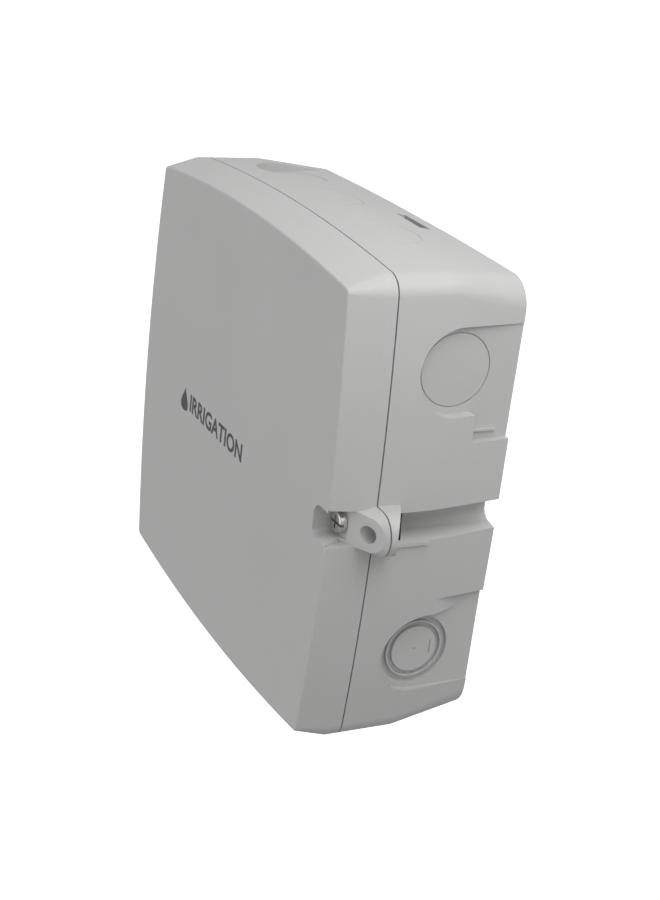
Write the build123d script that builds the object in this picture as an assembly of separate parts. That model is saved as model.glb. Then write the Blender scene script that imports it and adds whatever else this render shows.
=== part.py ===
from build123d import *
from math import radians, tan
import os

os.makedirs("parts", exist_ok=True)

# Wall-hung irrigation controller: a hinged-door outdoor case with the control panel,
# its electronics, the valve terminals and the transformer inside.
# Millimetres, +Z up, X to the right seen from the front. The wall face is Y = 0 and the
# front looks towards -Y, so each "depth" below is a distance from the wall along -Y.

# ---- Driving sizes: case ----
case_wide = 237.5            # across the bowed sides, at the seam
case_high = 234.8            # over the bowed top and bottom, at the seam
case_deep = 88.5             # wall face to door face
wall = 2.6                   # moulded wall thickness
seam_depth = 65.9            # front edge of the back case
seam_gap = 0.7
door_crease = 5.8            # straight flange of the door, seam to crease
rear_crease_depth = 37.5     # where the back case starts to narrow towards the wall
seam_side_bow = 6.1
seam_end_bow = 5.5
seam_corner = 10.0
face_inset_side = 2.35       # door face, inside the seam outline at mid side
face_inset_end = 4.3
face_side_bow = 7.1
face_end_bow = 6.4
face_corner = 2.6
back_inset_side = 4.75       # wall face, inside the seam outline
back_inset_end = 7.2
back_side_bow = 3.8
back_end_bow = 2.0
back_corner = 14.0
crease_round = 3.0           # blend of the door flange into its sloping facet
rear_crease_round = 14.0
face_edge_round = 1.1
lip_high = 4.0               # rain lip of the back case, inside the door
lip_thick = 2.0
lip_clear = 0.5
hasp_lip_gap = 1.0           # the lip stops this far above and below the hasp
gasket_thick = 2.2
gasket_wide = 4.0
gasket_clear = 0.3
shelf_thick = 2.0

# ---- Conduit knock-outs ----
trade_one_radius = 17.45     # 1 in trade size
trade_three_quarter_radius = 14.35
trade_half_radius = 11.7
ridge_thick = 0.7
knockout_depth = 31.8        # centres, from the wall
side_knockout_high = 69.5
top_knockout_x = -69.5
recess_radius = 20.5
side_recess_inset = 7.8      # flat of the recess, inside the seam outline
end_recess_inset = 7.6
band_high_top = 36.0         # raised band between the two side recesses
band_high_bottom = 41.0
band_step_depth = 21.0       # square step of an upper side recess
slope_start_depth = 12.0     # sloped step of a lower side recess
slope_end_depth = 30.0
slope_end_rise = 6.9
groove_deep = 1.8            # both grooves of a double knock-out
outline_groove_deep = 0.6    # the one thin groove of a single knock-out
outline_groove_wide = 0.5
disc_dome = 0.5              # rise of a single knock-out disc at its centre
mark_deep = 0.5              # centre dot and slot mark of a double knock-out
mark_dot_radius = 0.7
mark_slot_wide = 0.9
mark_slot_long = 7.0
mark_slot_back = 8.2         # slot mark, behind the centre
faint_groove_deep = 0.2
faint_groove_wide = 0.5
faint_circle_places = [(-5.0, 44.0), (54.0, 44.0)]
tab_from_wall = 6.5          # small ledge on each upper side recess
tab_long = 14.0
tab_thick = 1.0
tab_out = 1.6

# ---- Padlock hasp, screw pocket and rear channel ----
hasp_hole_radius = 4.0
hasp_hole_out = 5.6          # hole centre, outside the seam outline
hasp_ear_radius = 10.4
hasp_front_thick = 9.2       # door ear, at the case wall
hasp_front_slope = 0.5
hasp_rear_thick = 11.4       # back case ear, at the case wall
hasp_rear_slope = 0.53
screw_inset = 10.0           # door screw centre, inside the seam outline
hasp_face_radius = 8.0       # front face of the door ear, about its hole
hasp_face_root = 9.2         # its half height at the case wall
pocket_high = 14.0           # at the pocket floor
pocket_left = 5.7            # left end of the floor, from the screw centre
pocket_draft = 4.0
pocket_corner_top = 5.0
pocket_corner_low = 1.6
pocket_deep = 11.4
channel_inset = 15.2
channel_top = 6.0
channel_bottom = 7.6
channel_lip_drop = 1.6
channel_round = 6.0
channel_ledge_out = 1.2      # raised ledge along the lower edge of the channel
channel_ledge_thick = 1.2
door_screw_radius = 2.0
door_screw_head_radius = 5.3
door_screw_head_high = 3.5
door_screw_reach = 5.7
door_screw_play = 0.35
door_screw_travel = 6.0
retainer_thick = 1.0
retainer_radius = 3.9
bore_clear = 0.4
insert_radius = 4.0
insert_long = 9.0

# ---- Hinges ----
hinge_out = 2.7              # pin centre, outside the seam outline
hinge_heights = [62.0, -62.0]
knuckle_radius = 3.5
knuckle_long = 8.0
knuckle_gap = 0.4
hinge_pin_radius = 1.5
hinge_pin_clear = 0.1
hinge_pin_head_radius = 2.6
hinge_pin_head = 1.2

# ---- Wall fixing ----
wall_screw_radius = 2.6
wall_screw_x = 90.0
wall_screw_low = -102.5
keyhole_x = -20.0
keyhole_high = 88.0
keyhole_head_radius = 5.0
keyhole_slot = 9.0
hanger_x = 23.5
hanger_wide = 25.0
hanger_slot_deep = 6.0
hanger_slot_depth = 12.5
hanger_pocket_deep = 18.0
hanger_pocket_high = 9.0
hanger_rib = 0.8

# ---- Control panel ----
panel_x = -1.0
panel_wide = 198.0
panel_low = -30.0
panel_high = 102.0
panel_depth = 54.0           # back of the panel plate
panel_thick = 2.5
panel_skirt = 14.0
panel_skirt_thick = 2.0
panel_corner = 6.0
panel_boss_radius = 4.0
panel_boss_inset = 8.0
label_thick = 0.3
label_margin = 7.0
screw_radius = 1.75
screw_head_radius = 3.4
screw_head_high = 2.2
screw_long = 10.0
pilot_clear = 0.05

board_thick = 1.6
board_depth = 42.0           # back of the circuit board
board_margin = 15.0
board_low = -20.0
board_top = 92.0
board_notch_x = 12.0
board_notch_z = 11.0
board_post_radius = 3.2
board_post_inset = 6.0
board_screw_radius = 1.25
board_screw_head_radius = 2.5
board_screw_head_high = 1.6

display_x = -45.0
display_z = 66.0
display_wide = 64.0
display_high = 30.0
display_glass_thick = 3.0
lens_thick = 1.5
lens_border = 2.0

key_columns = [-72.0, -45.0, -18.0]
key_rows = [36.0, 16.0]
key_wide = 16.0
key_high = 9.0
key_corner = 3.0
key_proud = 2.4
key_flange = 1.6
key_flange_thick = 1.2
key_clear = 0.35
key_travel = 0.8
key_switch_wide = 6.2
key_switch_high = 4.3
key_stem_radius = 2.2

dial_x = 44.0
dial_z = 50.0
dial_radius = 29.0
dial_thick = 7.0
dial_grip_high = 8.0
dial_grip_wide = 9.0
dial_gap = 1.2
dial_shaft_radius = 3.0
dial_shaft_clear = 0.08
rotary_wide = 26.0
rotary_high = 7.5
rotary_bush_radius = 4.8
rotary_nut_radius = 7.0
rotary_nut_thick = 2.0

slider_z = -9.0
program_slider_x = -58.0
program_slider_travel = 5.0
mode_slider_x = -14.0
mode_slider_travel = 4.0
slider_wide = 7.0
slider_high = 5.0
slider_proud = 3.2
slider_clear = 0.35
slide_switch_high = 6.0
slide_switch_wall = 3.0

battery_x = 45.0
battery_z = -10.0
battery_long = 46.5
battery_high = 26.0
battery_thick = 17.2
battery_bay_long = 56.0
battery_bay_clear = 0.5
battery_bay_wall = 1.5
battery_cover_thick = 2.0
battery_cover_margin = 3.0
battery_cover_clear = 0.3
battery_cover_travel = 36.0
battery_rail_wide = 2.4
battery_rail_lip = 1.6
snap_long = 6.0

# ---- Terminal board ----
terminal_board_x = 28.0
terminal_board_z = -70.0
terminal_board_wide = 116.0
terminal_board_high = 56.0
terminal_board_depth = 12.0
standoff_radius = 3.5
terminal_count = 12
terminal_pitch = 8.2
terminal_high = 15.0
terminal_tall = 15.0
terminal_drop = 18.0
terminal_wall = 1.2
terminal_screw_radius = 1.5
terminal_screw_head_radius = 2.7
triac_count = 8
triac_wide = 10.0
triac_thick = 4.4
triac_tall = 15.0
triac_leg = 3.0
fuse_radius = 2.6
fuse_long = 20.0
fuse_cap = 5.0

# ---- Transformer and line-voltage compartment ----
transformer_x = -69.0
transformer_z = -70.0
transformer_depth = 8.0      # boss tops that carry the transformer, its cover and the lug
boss_screw_long = 5.0
core_leg = 16.0
core_window = 9.0
core_window_tall = 26.0
core_yoke = 8.0
core_stack = 20.0
bobbin_clear = 0.3
bobbin_thick = 1.0
coil_swell = 8.5
frame_thick = 1.2
foot_reach = 9.6
cover_x = -69.0
cover_wide = 74.0
cover_high = 54.0
cover_front = 56.0
cover_thick = 1.8
cover_tab = 9.0
cover_vents = 6
cover_vent_high = 2.4
lug_x = -15.0
lug_z = -36.0
lug_thick = 1.4

# ---- Door card and wiring ----
card_wide = 150.0
card_high = 120.0
card_thick = 0.4
wire_radius = 0.9
wire_bend = 6.0
lead_end_x = -26.5
header_tall = 8.0
ribbon_wide = 22.0
ribbon_thick = 1.0
ribbon_slack = 5.0

# ---- Values worked out from the sizes above ----
half_wide = case_wide / 2
half_high = case_high / 2
door_depth = seam_depth + seam_gap
door_crease_depth = door_depth + door_crease
door_inner = case_deep - wall
hasp_x = half_wide + hasp_hole_out
door_screw_x = half_wide - screw_inset
pocket_floor = case_deep - pocket_deep
hinge_x = -(half_wide + hinge_out)
recess_x = half_wide - side_recess_inset
recess_end_z = half_high - end_recess_inset
core_wide = core_leg + 2 * core_window + 2 * core_yoke
panel_front = panel_depth + panel_thick
panel_mid_z = (panel_low + panel_high) / 2
panel_tall = panel_high - panel_low
board_front = board_depth + board_thick
board_wide = panel_wide - 2 * board_margin - 2
board_left = panel_x - board_wide / 2
board_right = panel_x + board_wide / 2

SEAM = dict(side=0, end=0, side_bow=seam_side_bow, end_bow=seam_end_bow, corner=seam_corner)
FACE = dict(side=face_inset_side, end=face_inset_end, side_bow=face_side_bow,
            end_bow=face_end_bow, corner=face_corner)
BACK = dict(side=back_inset_side, end=back_inset_end, side_bow=back_side_bow,
            end_bow=back_end_bow, corner=back_corner)


def at_depth(depth):
    """The plane parallel to the wall at a distance from it, facing the front."""
    return Plane.XZ.offset(depth)


def outline(shape, depth, shrink=0.0):
    """One case outline: four sides that bow outwards and round corners."""
    mid_x = half_wide - shape["side"] - shrink
    mid_z = half_high - shape["end"] - shrink
    x = mid_x - shape["side_bow"]
    z = mid_z - shape["end_bow"]
    edges = [
        ThreePointArc((-x, z), (0, mid_z), (x, z)),
        ThreePointArc((x, z), (mid_x, 0), (x, -z)),
        ThreePointArc((x, -z), (0, -mid_z), (-x, -z)),
        ThreePointArc((-x, -z), (-mid_x, 0), (-x, z)),
    ]
    face = make_face(Curve() + edges)
    face = fillet(face.vertices(), max(shape["corner"] - shrink, 1.0))
    return at_depth(depth) * face


def seam_ring(near, far, outer_shrink, inner_shrink):
    """A straight ring that follows the seam outline, between two depths."""
    outer = extrude(outline(SEAM, near, outer_shrink), far - near)
    return outer - extrude(outline(SEAM, near, inner_shrink), far - near)


def block(x, z, wide, high, near, far):
    """A box centred on X and Z, between two depths."""
    return Pos(x, -(near + far) / 2, z) * Box(wide, far - near, high)


def slab(x, z, wide, high, near, far, corner):
    """A block with round corners seen from the front."""
    return extrude(at_depth(near) * Pos(x, z) * RectangleRounded(wide, high, corner), far - near)


def peg(x, z, radius, near, far):
    """A round bar square to the wall, between two depths."""
    return Pos(x, -(near + far) / 2, z) * Rot(90, 0, 0) * Cylinder(radius, far - near)


def upright(x, depth, radius, low, high):
    """A vertical round bar."""
    return Pos(x, -depth, (low + high) / 2) * Cylinder(radius, high - low)


def screws(places, head_depth, radius, head_radius, head_high, long):
    """Pan-head screws with a cross recess, heads facing the front."""
    made = Part()
    for x, z in places:
        head = peg(x, z, head_radius, head_depth, head_depth + head_high)
        head = fillet(head.edges().filter_by(GeomType.CIRCLE).sort_by(Axis.Y)[0], head_high * 0.6)
        slot = block(x, z, head_radius * 1.1, 0.7, head_depth + head_high * 0.5, head_depth + head_high)
        cross = block(x, z, 0.7, head_radius * 1.1, head_depth + head_high * 0.5, head_depth + head_high)
        made += head - slot - cross + peg(x, z, radius, head_depth - long, head_depth)
    return made


def save(name, shape):
    """Write one node; a group of like pieces stays a group of solids."""
    solids = shape.solids()
    whole = solids[0] if len(solids) == 1 else Compound(children=list(solids))
    export_step(whole, f"parts/{name}.step")


# ---- Recesses around the conduit knock-outs ----
def side_place(side, height):
    """Flat of a side recess: local X runs to the front, local normal points out."""
    return Plane(origin=(side * recess_x, 0, height), x_dir=(0, -1, 0), z_dir=(side, 0, 0))


def end_place(end):
    """Flat of the recess in the top (end = 1) or the bottom (end = -1)."""
    return Plane(origin=(top_knockout_x, 0, end * recess_end_z), x_dir=(0, -1, 0), z_dir=(0, 0, end))


clear_out = 30.0             # how far cutting shapes run past the outer faces


def recess(place, grow, step=0.0, sloped=False):
    """Space outside a recess flat: a round front end, straight sides and a step at the rear."""
    radius = recess_radius + grow
    run = knockout_depth + 1
    shape = Pos(knockout_depth, 0) * Circle(radius)
    shape += Pos(knockout_depth - run / 2, 0) * Rectangle(run, 2 * radius)
    space = extrude(place.offset(-grow) * shape, clear_out + grow)
    if not step:
        return space
    reach = abs(step) + grow
    if sloped:
        run = slope_end_depth - slope_start_depth
        front = slope_start_depth + run * clear_out / slope_end_rise
        floor = [(-1, -grow), (slope_start_depth, -grow), (front, clear_out - grow), (-1, clear_out - grow)]
    else:
        front = band_step_depth + grow
        floor = [(-1, -grow), (front, -grow), (front, clear_out), (-1, clear_out)]
    flat = Plane.XZ * make_face(Polyline(floor, close=True))
    wedge = extrude(flat, reach)
    if step > 0:
        wedge = Pos(0, reach, 0) * wedge
    return space + place * wedge


def knockout_grooves(place, rings, deep):
    """Grooves that let a knock-out disc be punched out, cut into the recess flat."""
    cut = Part()
    for outer, inner in rings:
        ring = Pos(knockout_depth, 0) * (Circle(outer) - Circle(inner))
        cut += extrude(place.offset(-deep) * ring, deep + 1)
    return cut


def knockout_marks(place):
    """Centre dot and slot mark on the inner disc of a double knock-out."""
    flat = Pos(knockout_depth, 0) * Circle(mark_dot_radius)
    flat += Pos(knockout_depth - mark_slot_back, 0) * Rectangle(mark_slot_wide, mark_slot_long)
    return extrude(place.offset(-mark_deep) * flat, mark_deep + 1)


def knockout_dome(place):
    """Shallow dome over the disc of a single knock-out."""
    base = trade_one_radius - outline_groove_wide
    ball = (base**2 + disc_dome**2) / (2 * disc_dome)
    drum = extrude(place * (Pos(knockout_depth, 0) * Circle(base)), disc_dome + 1)
    return drum & (place * (Pos(knockout_depth, 0, disc_dome - ball) * Sphere(ball)))


side_steps = {1: band_high_top, -1: band_high_bottom}
recess_list = []
for side in (1, -1):
    for level in (1, -1):
        place = side_place(side, level * side_knockout_high)
        towards_band = place.to_local_coords(Vector(side * recess_x, 0, 0)).Y
        reach = side_knockout_high - side_steps[level]
        recess_list.append((place, reach if towards_band > 0 else -reach, level < 0))
for end in (1, -1):
    recess_list.append((end_place(end), 0.0, False))

single_ring = [(trade_one_radius, trade_one_radius - outline_groove_wide)]
double_ring = [(trade_one_radius, trade_three_quarter_radius + ridge_thick / 2),
               (trade_three_quarter_radius - ridge_thick / 2, trade_half_radius)]


# ---- Back case ----
def channel_profile(grow):
    """Section of the channel that runs from the hasp to the wall, in X and Z."""
    floor_x = half_wide - channel_inset - grow
    top = channel_top + grow
    low = -channel_bottom - grow
    out_x = half_wide + clear_out
    return make_face(Curve() + [
        Line((out_x, top), (floor_x, top)),
        Line((floor_x, top), (floor_x, low + channel_round)),
        RadiusArc((floor_x, low + channel_round), (floor_x + channel_round, low), -channel_round),
        Line((floor_x + channel_round, low), (half_wide, low - channel_lip_drop)),
        Line((half_wide, low - channel_lip_drop), (out_x, low - channel_lip_drop)),
        Line((out_x, low - channel_lip_drop), (out_x, top)),
    ])


def hasp_rear_space(grow):
    """Everything behind the slanted rear face of the back case ear."""
    at_wall = seam_depth - hasp_rear_thick - grow
    inner_x = half_wide - 40
    outer_x = half_wide + 30
    points = [
        (inner_x, -5),
        (outer_x, -5),
        (outer_x, at_wall + 30 * hasp_rear_slope),
        (inner_x, at_wall - 40 * hasp_rear_slope),
    ]
    flat = make_face(Polyline([(x, -depth) for x, depth in points], close=True))
    return Pos(0, 0, -60) * extrude(Plane.XY * flat, 120)


def channel(grow):
    run = extrude(at_depth(-5) * channel_profile(grow), seam_depth + 5)
    return run & hasp_rear_space(grow)


def channel_ledge():
    """Raised ledge on the side wall, along the lower edge of the channel."""
    top = -channel_bottom - channel_lip_drop
    far = seam_depth - hasp_rear_thick
    out = half_wide + channel_ledge_out
    return block(out - 1.5, top - channel_ledge_thick / 2, 3, channel_ledge_thick, rear_crease_depth, far + 1)


def upper_tab(place):
    """Small ledge on an upper side recess, towards the band between the recesses."""
    level = place.to_local_coords(Vector(place.origin.X, 0, 0)).Y
    side = 1 if level > 0 else -1
    flat = Pos(tab_from_wall + tab_long / 2, side * (abs(level) - band_high_bottom + tab_thick / 2))
    return extrude(place.offset(-0.5) * (flat * Rectangle(tab_long, tab_thick)), tab_out + 0.5)


def ear_profile():
    root_x = door_screw_x
    flat = Pos((root_x + hasp_x) / 2, 0) * Rectangle(hasp_x - root_x, 2 * hasp_ear_radius)
    return flat + Pos(hasp_x, 0) * Circle(hasp_ear_radius)


panel_boss_places = [
    (panel_x + sx * (panel_wide / 2 - panel_boss_inset), z)
    for sx in (-1, 1)
    for z in (panel_low + panel_boss_inset, panel_high - panel_boss_inset)
]
terminal_standoffs = [
    (terminal_board_x + sx * (terminal_board_wide / 2 - 5), terminal_board_z + sz * (terminal_board_high / 2 - 5))
    for sx in (-1, 1)
    for sz in (-1, 1)
]
transformer_feet = [(transformer_x + sx * (core_wide / 2 + foot_reach / 2), transformer_z) for sx in (-1, 1)]
cover_screw_places = [(cover_x, transformer_z + sz * (cover_high + cover_tab) / 2) for sz in (-1, 1)]
lug_place = (lug_x, lug_z)
wall_screw_places = [(sx * wall_screw_x, wall_screw_low) for sx in (-1, 1)]


def hinge_knuckle(height, offset, long):
    z = height + offset
    return upright(hinge_x, seam_depth + seam_gap / 2, knuckle_radius, z - long / 2, z + long / 2)


hinge_depth = seam_depth + seam_gap / 2
knuckle_step = knuckle_long + knuckle_gap
knuckle_web = knuckle_radius - seam_gap / 2


def side_wall_x(height):
    """Outer face of the seam outline at a height, on its circular bow."""
    corner_z = half_high - seam_end_bow
    radius = (corner_z**2 + seam_side_bow**2) / (2 * seam_side_bow)
    return half_wide - radius + (radius**2 - height**2) ** 0.5


def hinge_web(height, offset, near, far):
    z = height + offset
    inner_x = -side_wall_x(abs(z)) + wall / 2
    mid_x = (hinge_x + inner_x) / 2
    return block(mid_x, z, inner_x - hinge_x, knuckle_long, near, far)


outer = loft([outline(BACK, 0), outline(SEAM, rear_crease_depth)], ruled=True)
outer += extrude(outline(SEAM, rear_crease_depth), seam_depth - rear_crease_depth)
crease_edges = outer.edges().filter_by_position(Axis.Y, -rear_crease_depth - 0.01, -rear_crease_depth + 0.01)
outer = fillet(crease_edges, rear_crease_round)
cavity = loft([outline(BACK, wall, wall), outline(SEAM, rear_crease_depth, wall)], ruled=True)
cavity += extrude(outline(SEAM, rear_crease_depth, wall), seam_depth - rear_crease_depth + 1)
for place, step, sloped in recess_list:
    cavity -= recess(place, wall, step, sloped)
cavity -= channel(wall)
hasp_block = block(half_wide, 0, 2 * (half_wide - door_screw_x + insert_radius + wall), 2 * hasp_ear_radius,
                   seam_depth - insert_long - wall, seam_depth)
cavity -= hasp_block
hanger_back = block(hanger_x, half_high - back_inset_end, hanger_wide + 2 * wall,
                    2 * (hanger_pocket_high + wall), 0, hanger_pocket_deep + wall)
cavity -= hanger_back

back_case = outer - cavity
back_case += seam_ring(seam_depth, seam_depth + lip_high, wall + lip_clear, wall + lip_clear + lip_thick)
back_case -= block(half_wide, 0, 60, 2 * (hasp_ear_radius + hasp_lip_gap), seam_depth, seam_depth + lip_high + 1)
back_case += seam_ring(seam_depth - 3, seam_depth, wall - 0.2, wall + lip_clear + lip_thick)
for place, step, sloped in recess_list:
    back_case -= recess(place, 0, step, sloped)
ear = extrude(at_depth(seam_depth - hasp_rear_thick - 10) * ear_profile(), hasp_rear_thick + 10)
back_case += (ear - hasp_rear_space(0)) & block(half_wide + 20, 0, 60, 60, 0, seam_depth)
back_case += channel_ledge()
back_case -= channel(0)
for place, step, sloped in recess_list:
    if sloped:
        back_case -= knockout_grooves(place, double_ring, groove_deep)
        back_case -= knockout_marks(place)
    else:
        back_case -= knockout_grooves(place, single_ring, outline_groove_deep)
        back_case += knockout_dome(place)
    if step and not sloped:
        back_case += upper_tab(place)
skin = outer - loft([outline(BACK, 0, faint_groove_deep), outline(SEAM, rear_crease_depth, faint_groove_deep),
                     outline(SEAM, seam_depth, faint_groove_deep)], ruled=True)
for x, depth in faint_circle_places:
    for end in (1, -1):
        ring = Circle(trade_one_radius) - Circle(trade_one_radius - faint_groove_wide)
        ring &= Pos(0, trade_one_radius) * Rectangle(3 * trade_one_radius, 2 * trade_one_radius)
        ring = Pos(x, -depth) * ring
        tube = extrude(Plane.XY.offset(end * half_high - 10) * ring, 20)
        back_case -= tube & skin
# Hanger pocket behind the top edge, with its slot and the small rib behind the slot.
top_edge = half_high - back_inset_end
back_case -= block(hanger_x, top_edge - wall - hanger_pocket_high / 2, hanger_wide, hanger_pocket_high,
                   -1, hanger_pocket_deep)
back_case -= block(hanger_x, top_edge, hanger_wide, 4 * wall, hanger_slot_depth - hanger_slot_deep / 2,
                   hanger_slot_depth + hanger_slot_deep / 2)
# Wall screw holes and the keyhole.
for x, z in wall_screw_places:
    back_case -= peg(x, z, wall_screw_radius, -1, wall + 1)
back_case -= peg(keyhole_x, keyhole_high - keyhole_slot, keyhole_head_radius, -1, wall + 1)
back_case -= block(keyhole_x, keyhole_high - keyhole_slot / 2, 2 * wall_screw_radius, keyhole_slot, -1, wall + 1)
back_case -= peg(keyhole_x, keyhole_high, wall_screw_radius, -1, wall + 1)
# Bosses for the panel, the terminal board, the transformer, its cover and the ground lug.
bosses = [(place, panel_depth, panel_boss_radius, screw_radius, screw_long) for place in panel_boss_places]
bosses += [(place, terminal_board_depth, standoff_radius, board_screw_radius, 6) for place in terminal_standoffs]
low_bosses = transformer_feet + cover_screw_places + [lug_place]
bosses += [(place, transformer_depth, standoff_radius, screw_radius, boss_screw_long) for place in low_bosses]
for (x, z), depth, radius, hole, deep in bosses:
    back_case += peg(x, z, radius, wall - 0.2, depth)
    back_case -= peg(x, z, hole + pilot_clear, max(depth - deep, wall) - 0.6, depth + 1)
# Bore of the threaded insert, padlock hole and hinge knuckles.
back_case -= peg(door_screw_x, 0, insert_radius, seam_depth - insert_long, seam_depth + 1)
back_case -= peg(hasp_x, 0, hasp_hole_radius, 0, seam_depth + 1)
for height in hinge_heights:
    for offset in (knuckle_step, -knuckle_step):
        back_case += hinge_knuckle(height, offset, knuckle_long)
        back_case += hinge_web(height, offset, hinge_depth - knuckle_radius, seam_depth)
        back_case -= upright(hinge_x, hinge_depth, hinge_pin_radius, height + offset - 10, height + offset + 10)
save("back_case", back_case)

# ---- Door ----
door_outer = extrude(outline(SEAM, door_depth), door_crease)
door_outer += loft([outline(SEAM, door_crease_depth), outline(FACE, case_deep)], ruled=True)
crease_edges = door_outer.edges().filter_by_position(
    Axis.Y, -door_crease_depth - 0.01, -door_crease_depth + 0.01)
door_outer = fillet(crease_edges, crease_round)
face_edges = door_outer.edges().filter_by_position(Axis.Y, -case_deep - 0.01, -case_deep + 0.01)
door_outer = fillet(face_edges, face_edge_round)
hollow = extrude(outline(SEAM, door_depth - 1, wall), door_crease + 1)
hollow += loft([outline(SEAM, door_crease_depth, wall), outline(FACE, door_inner, wall)], ruled=True)


def pocket(grow):
    """Screw pocket: drafted walls, open through the right edge of the door."""
    left = door_screw_x - pocket_left - grow
    right = half_wide + 30
    flat = Pos((left + right) / 2, 0) * Rectangle(right - left, pocket_high + 2 * grow)
    corners = flat.vertices().group_by(Axis.X)[0].sort_by(Axis.Y)
    flat = fillet(corners[0], pocket_corner_low + grow)
    top_corner = flat.vertices().group_by(Axis.Y)[-1].sort_by(Axis.X)[0]
    flat = fillet(top_corner, pocket_corner_top)
    return extrude(at_depth(pocket_floor - grow) * flat, pocket_deep + grow + 5, taper=-pocket_draft)


def ear_outline(plane, root, centre, tip, root_half, half):
    """Outline of an ear on a plane: a straight root, two sides and a round tip."""
    return plane * make_face(Curve() + [
        Line((root, root_half), (root, -root_half)),
        Line((root, -root_half), (centre, -half)),
        ThreePointArc((centre, -half), (centre + tip, 0), (centre, half)),
        Line((centre, half), (root, root_half)),
    ])


# The door ear runs from its outline at the seam to the smaller outline of its slanted face.
ear_stretch = (1 + hasp_front_slope**2) ** 0.5
ear_root = -0.8 * screw_inset
slanted = Plane(origin=(half_wide, -seam_depth - hasp_front_thick, 0), x_dir=(1, hasp_front_slope, 0),
                z_dir=(hasp_front_slope, -1, 0))
ear_face = ear_outline(slanted, ear_root * ear_stretch, hasp_hole_out * ear_stretch,
                       hasp_face_radius * ear_stretch, hasp_face_root, hasp_face_radius)
ear_base = ear_outline(at_depth(door_depth), half_wide + ear_root, hasp_x, hasp_ear_radius,
                       hasp_ear_radius, hasp_ear_radius)


hollow -= pocket(wall)
screw_boss_radius = retainer_radius + bore_clear + wall
hollow -= peg(door_screw_x, 0, screw_boss_radius, door_depth, pocket_floor)
shelf_near = seam_depth + lip_high + gasket_clear + gasket_thick
front_door = door_outer - hollow
front_door += seam_ring(shelf_near, shelf_near + shelf_thick, wall - 0.2, wall + gasket_wide)
front_door -= pocket(0)
front_door -= extrude(ear_face, clear_out)
door_ear = loft([ear_base, ear_face], ruled=True)
front_door += door_ear & block(half_wide + 20, 0, 60, 60, door_depth, pocket_floor)
front_door -= peg(hasp_x, 0, hasp_hole_radius, door_depth - 1, case_deep + 1)
retainer_near = door_depth + 0.3
retainer_bore_end = retainer_near + retainer_thick + door_screw_travel
front_door -= peg(door_screw_x, 0, door_screw_radius + bore_clear, door_depth - 1, pocket_floor + 1)
front_door -= peg(door_screw_x, 0, retainer_radius + bore_clear, door_depth - 1, retainer_bore_end)
for height in hinge_heights:
    front_door += hinge_knuckle(height, 0, knuckle_long)
    front_door += hinge_web(height, 0, door_depth, hinge_depth + knuckle_radius)
    front_door -= upright(hinge_x, hinge_depth, hinge_pin_radius + hinge_pin_clear, height - 10, height + 10)
save("front_door", front_door)

# ---- Door fittings ----
door_gasket = seam_ring(shelf_near - gasket_thick, shelf_near, wall, wall + gasket_wide)
door_gasket -= block(half_wide, 0, 60, 2 * (hasp_ear_radius + gasket_clear), door_depth, case_deep)
save("door_gasket", door_gasket)

screw_insert = peg(door_screw_x, 0, insert_radius, seam_depth - insert_long, seam_depth - 0.2)
insert_bore = door_screw_radius + door_screw_play
screw_insert -= peg(door_screw_x, 0, insert_bore, seam_depth - insert_long - 1, seam_depth + 1)
save("screw_insert", screw_insert)

head_seat = pocket_floor + 0.2
door_screw = peg(door_screw_x, 0, door_screw_head_radius, head_seat, head_seat + door_screw_head_high)
door_screw = fillet(door_screw.edges().filter_by(GeomType.CIRCLE).sort_by(Axis.Y)[0], 1.2)
door_screw -= block(door_screw_x, 0, 2 * door_screw_head_radius, 1.2, head_seat + 1.6, head_seat + 5)
door_screw -= block(door_screw_x, 0, 1.2, 1.2 * door_screw_head_radius, head_seat + 1.6, head_seat + 5)
door_screw += peg(door_screw_x, 0, door_screw_radius, seam_depth - door_screw_reach, head_seat)
save("door_screw", door_screw)

screw_retainer = peg(door_screw_x, 0, retainer_radius, retainer_near, retainer_near + retainer_thick)
screw_retainer -= peg(door_screw_x, 0, door_screw_radius + 0.05, retainer_near - 1, retainer_near + 3)
save("screw_retainer", screw_retainer)

hinge_pins = Part()
pin_half = 1.5 * knuckle_long + knuckle_gap
for height in hinge_heights:
    hinge_pins += upright(hinge_x, hinge_depth, hinge_pin_radius, height - pin_half, height + pin_half)
    hinge_pins += upright(hinge_x, hinge_depth, hinge_pin_head_radius, height + pin_half,
                          height + pin_half + hinge_pin_head)
save("hinge_pins", hinge_pins)

schedule_card = slab(-10, 0, card_wide, card_high, door_inner - card_thick, door_inner, 3)
save("schedule_card", schedule_card)

# ---- Control panel ----
key_places = [(x, z) for z in key_rows for x in key_columns]
display_opening = slab(display_x, display_z, display_wide - 6, display_high - 6, panel_depth - 1, case_deep, 2)
bay_wide = battery_bay_long
bay_high = battery_high + 2 * battery_bay_clear
bay_back = panel_front - battery_thick - 2 * battery_bay_clear
program_slot = slab(program_slider_x, slider_z, slider_wide + 2 * program_slider_travel + 2 * slider_clear,
                    slider_high + 2 * slider_clear, panel_depth - 1, case_deep, 1)
mode_slot = slab(mode_slider_x, slider_z, slider_wide + 2 * mode_slider_travel + 2 * slider_clear,
                 slider_high + 2 * slider_clear, panel_depth - 1, case_deep, 1)

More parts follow.
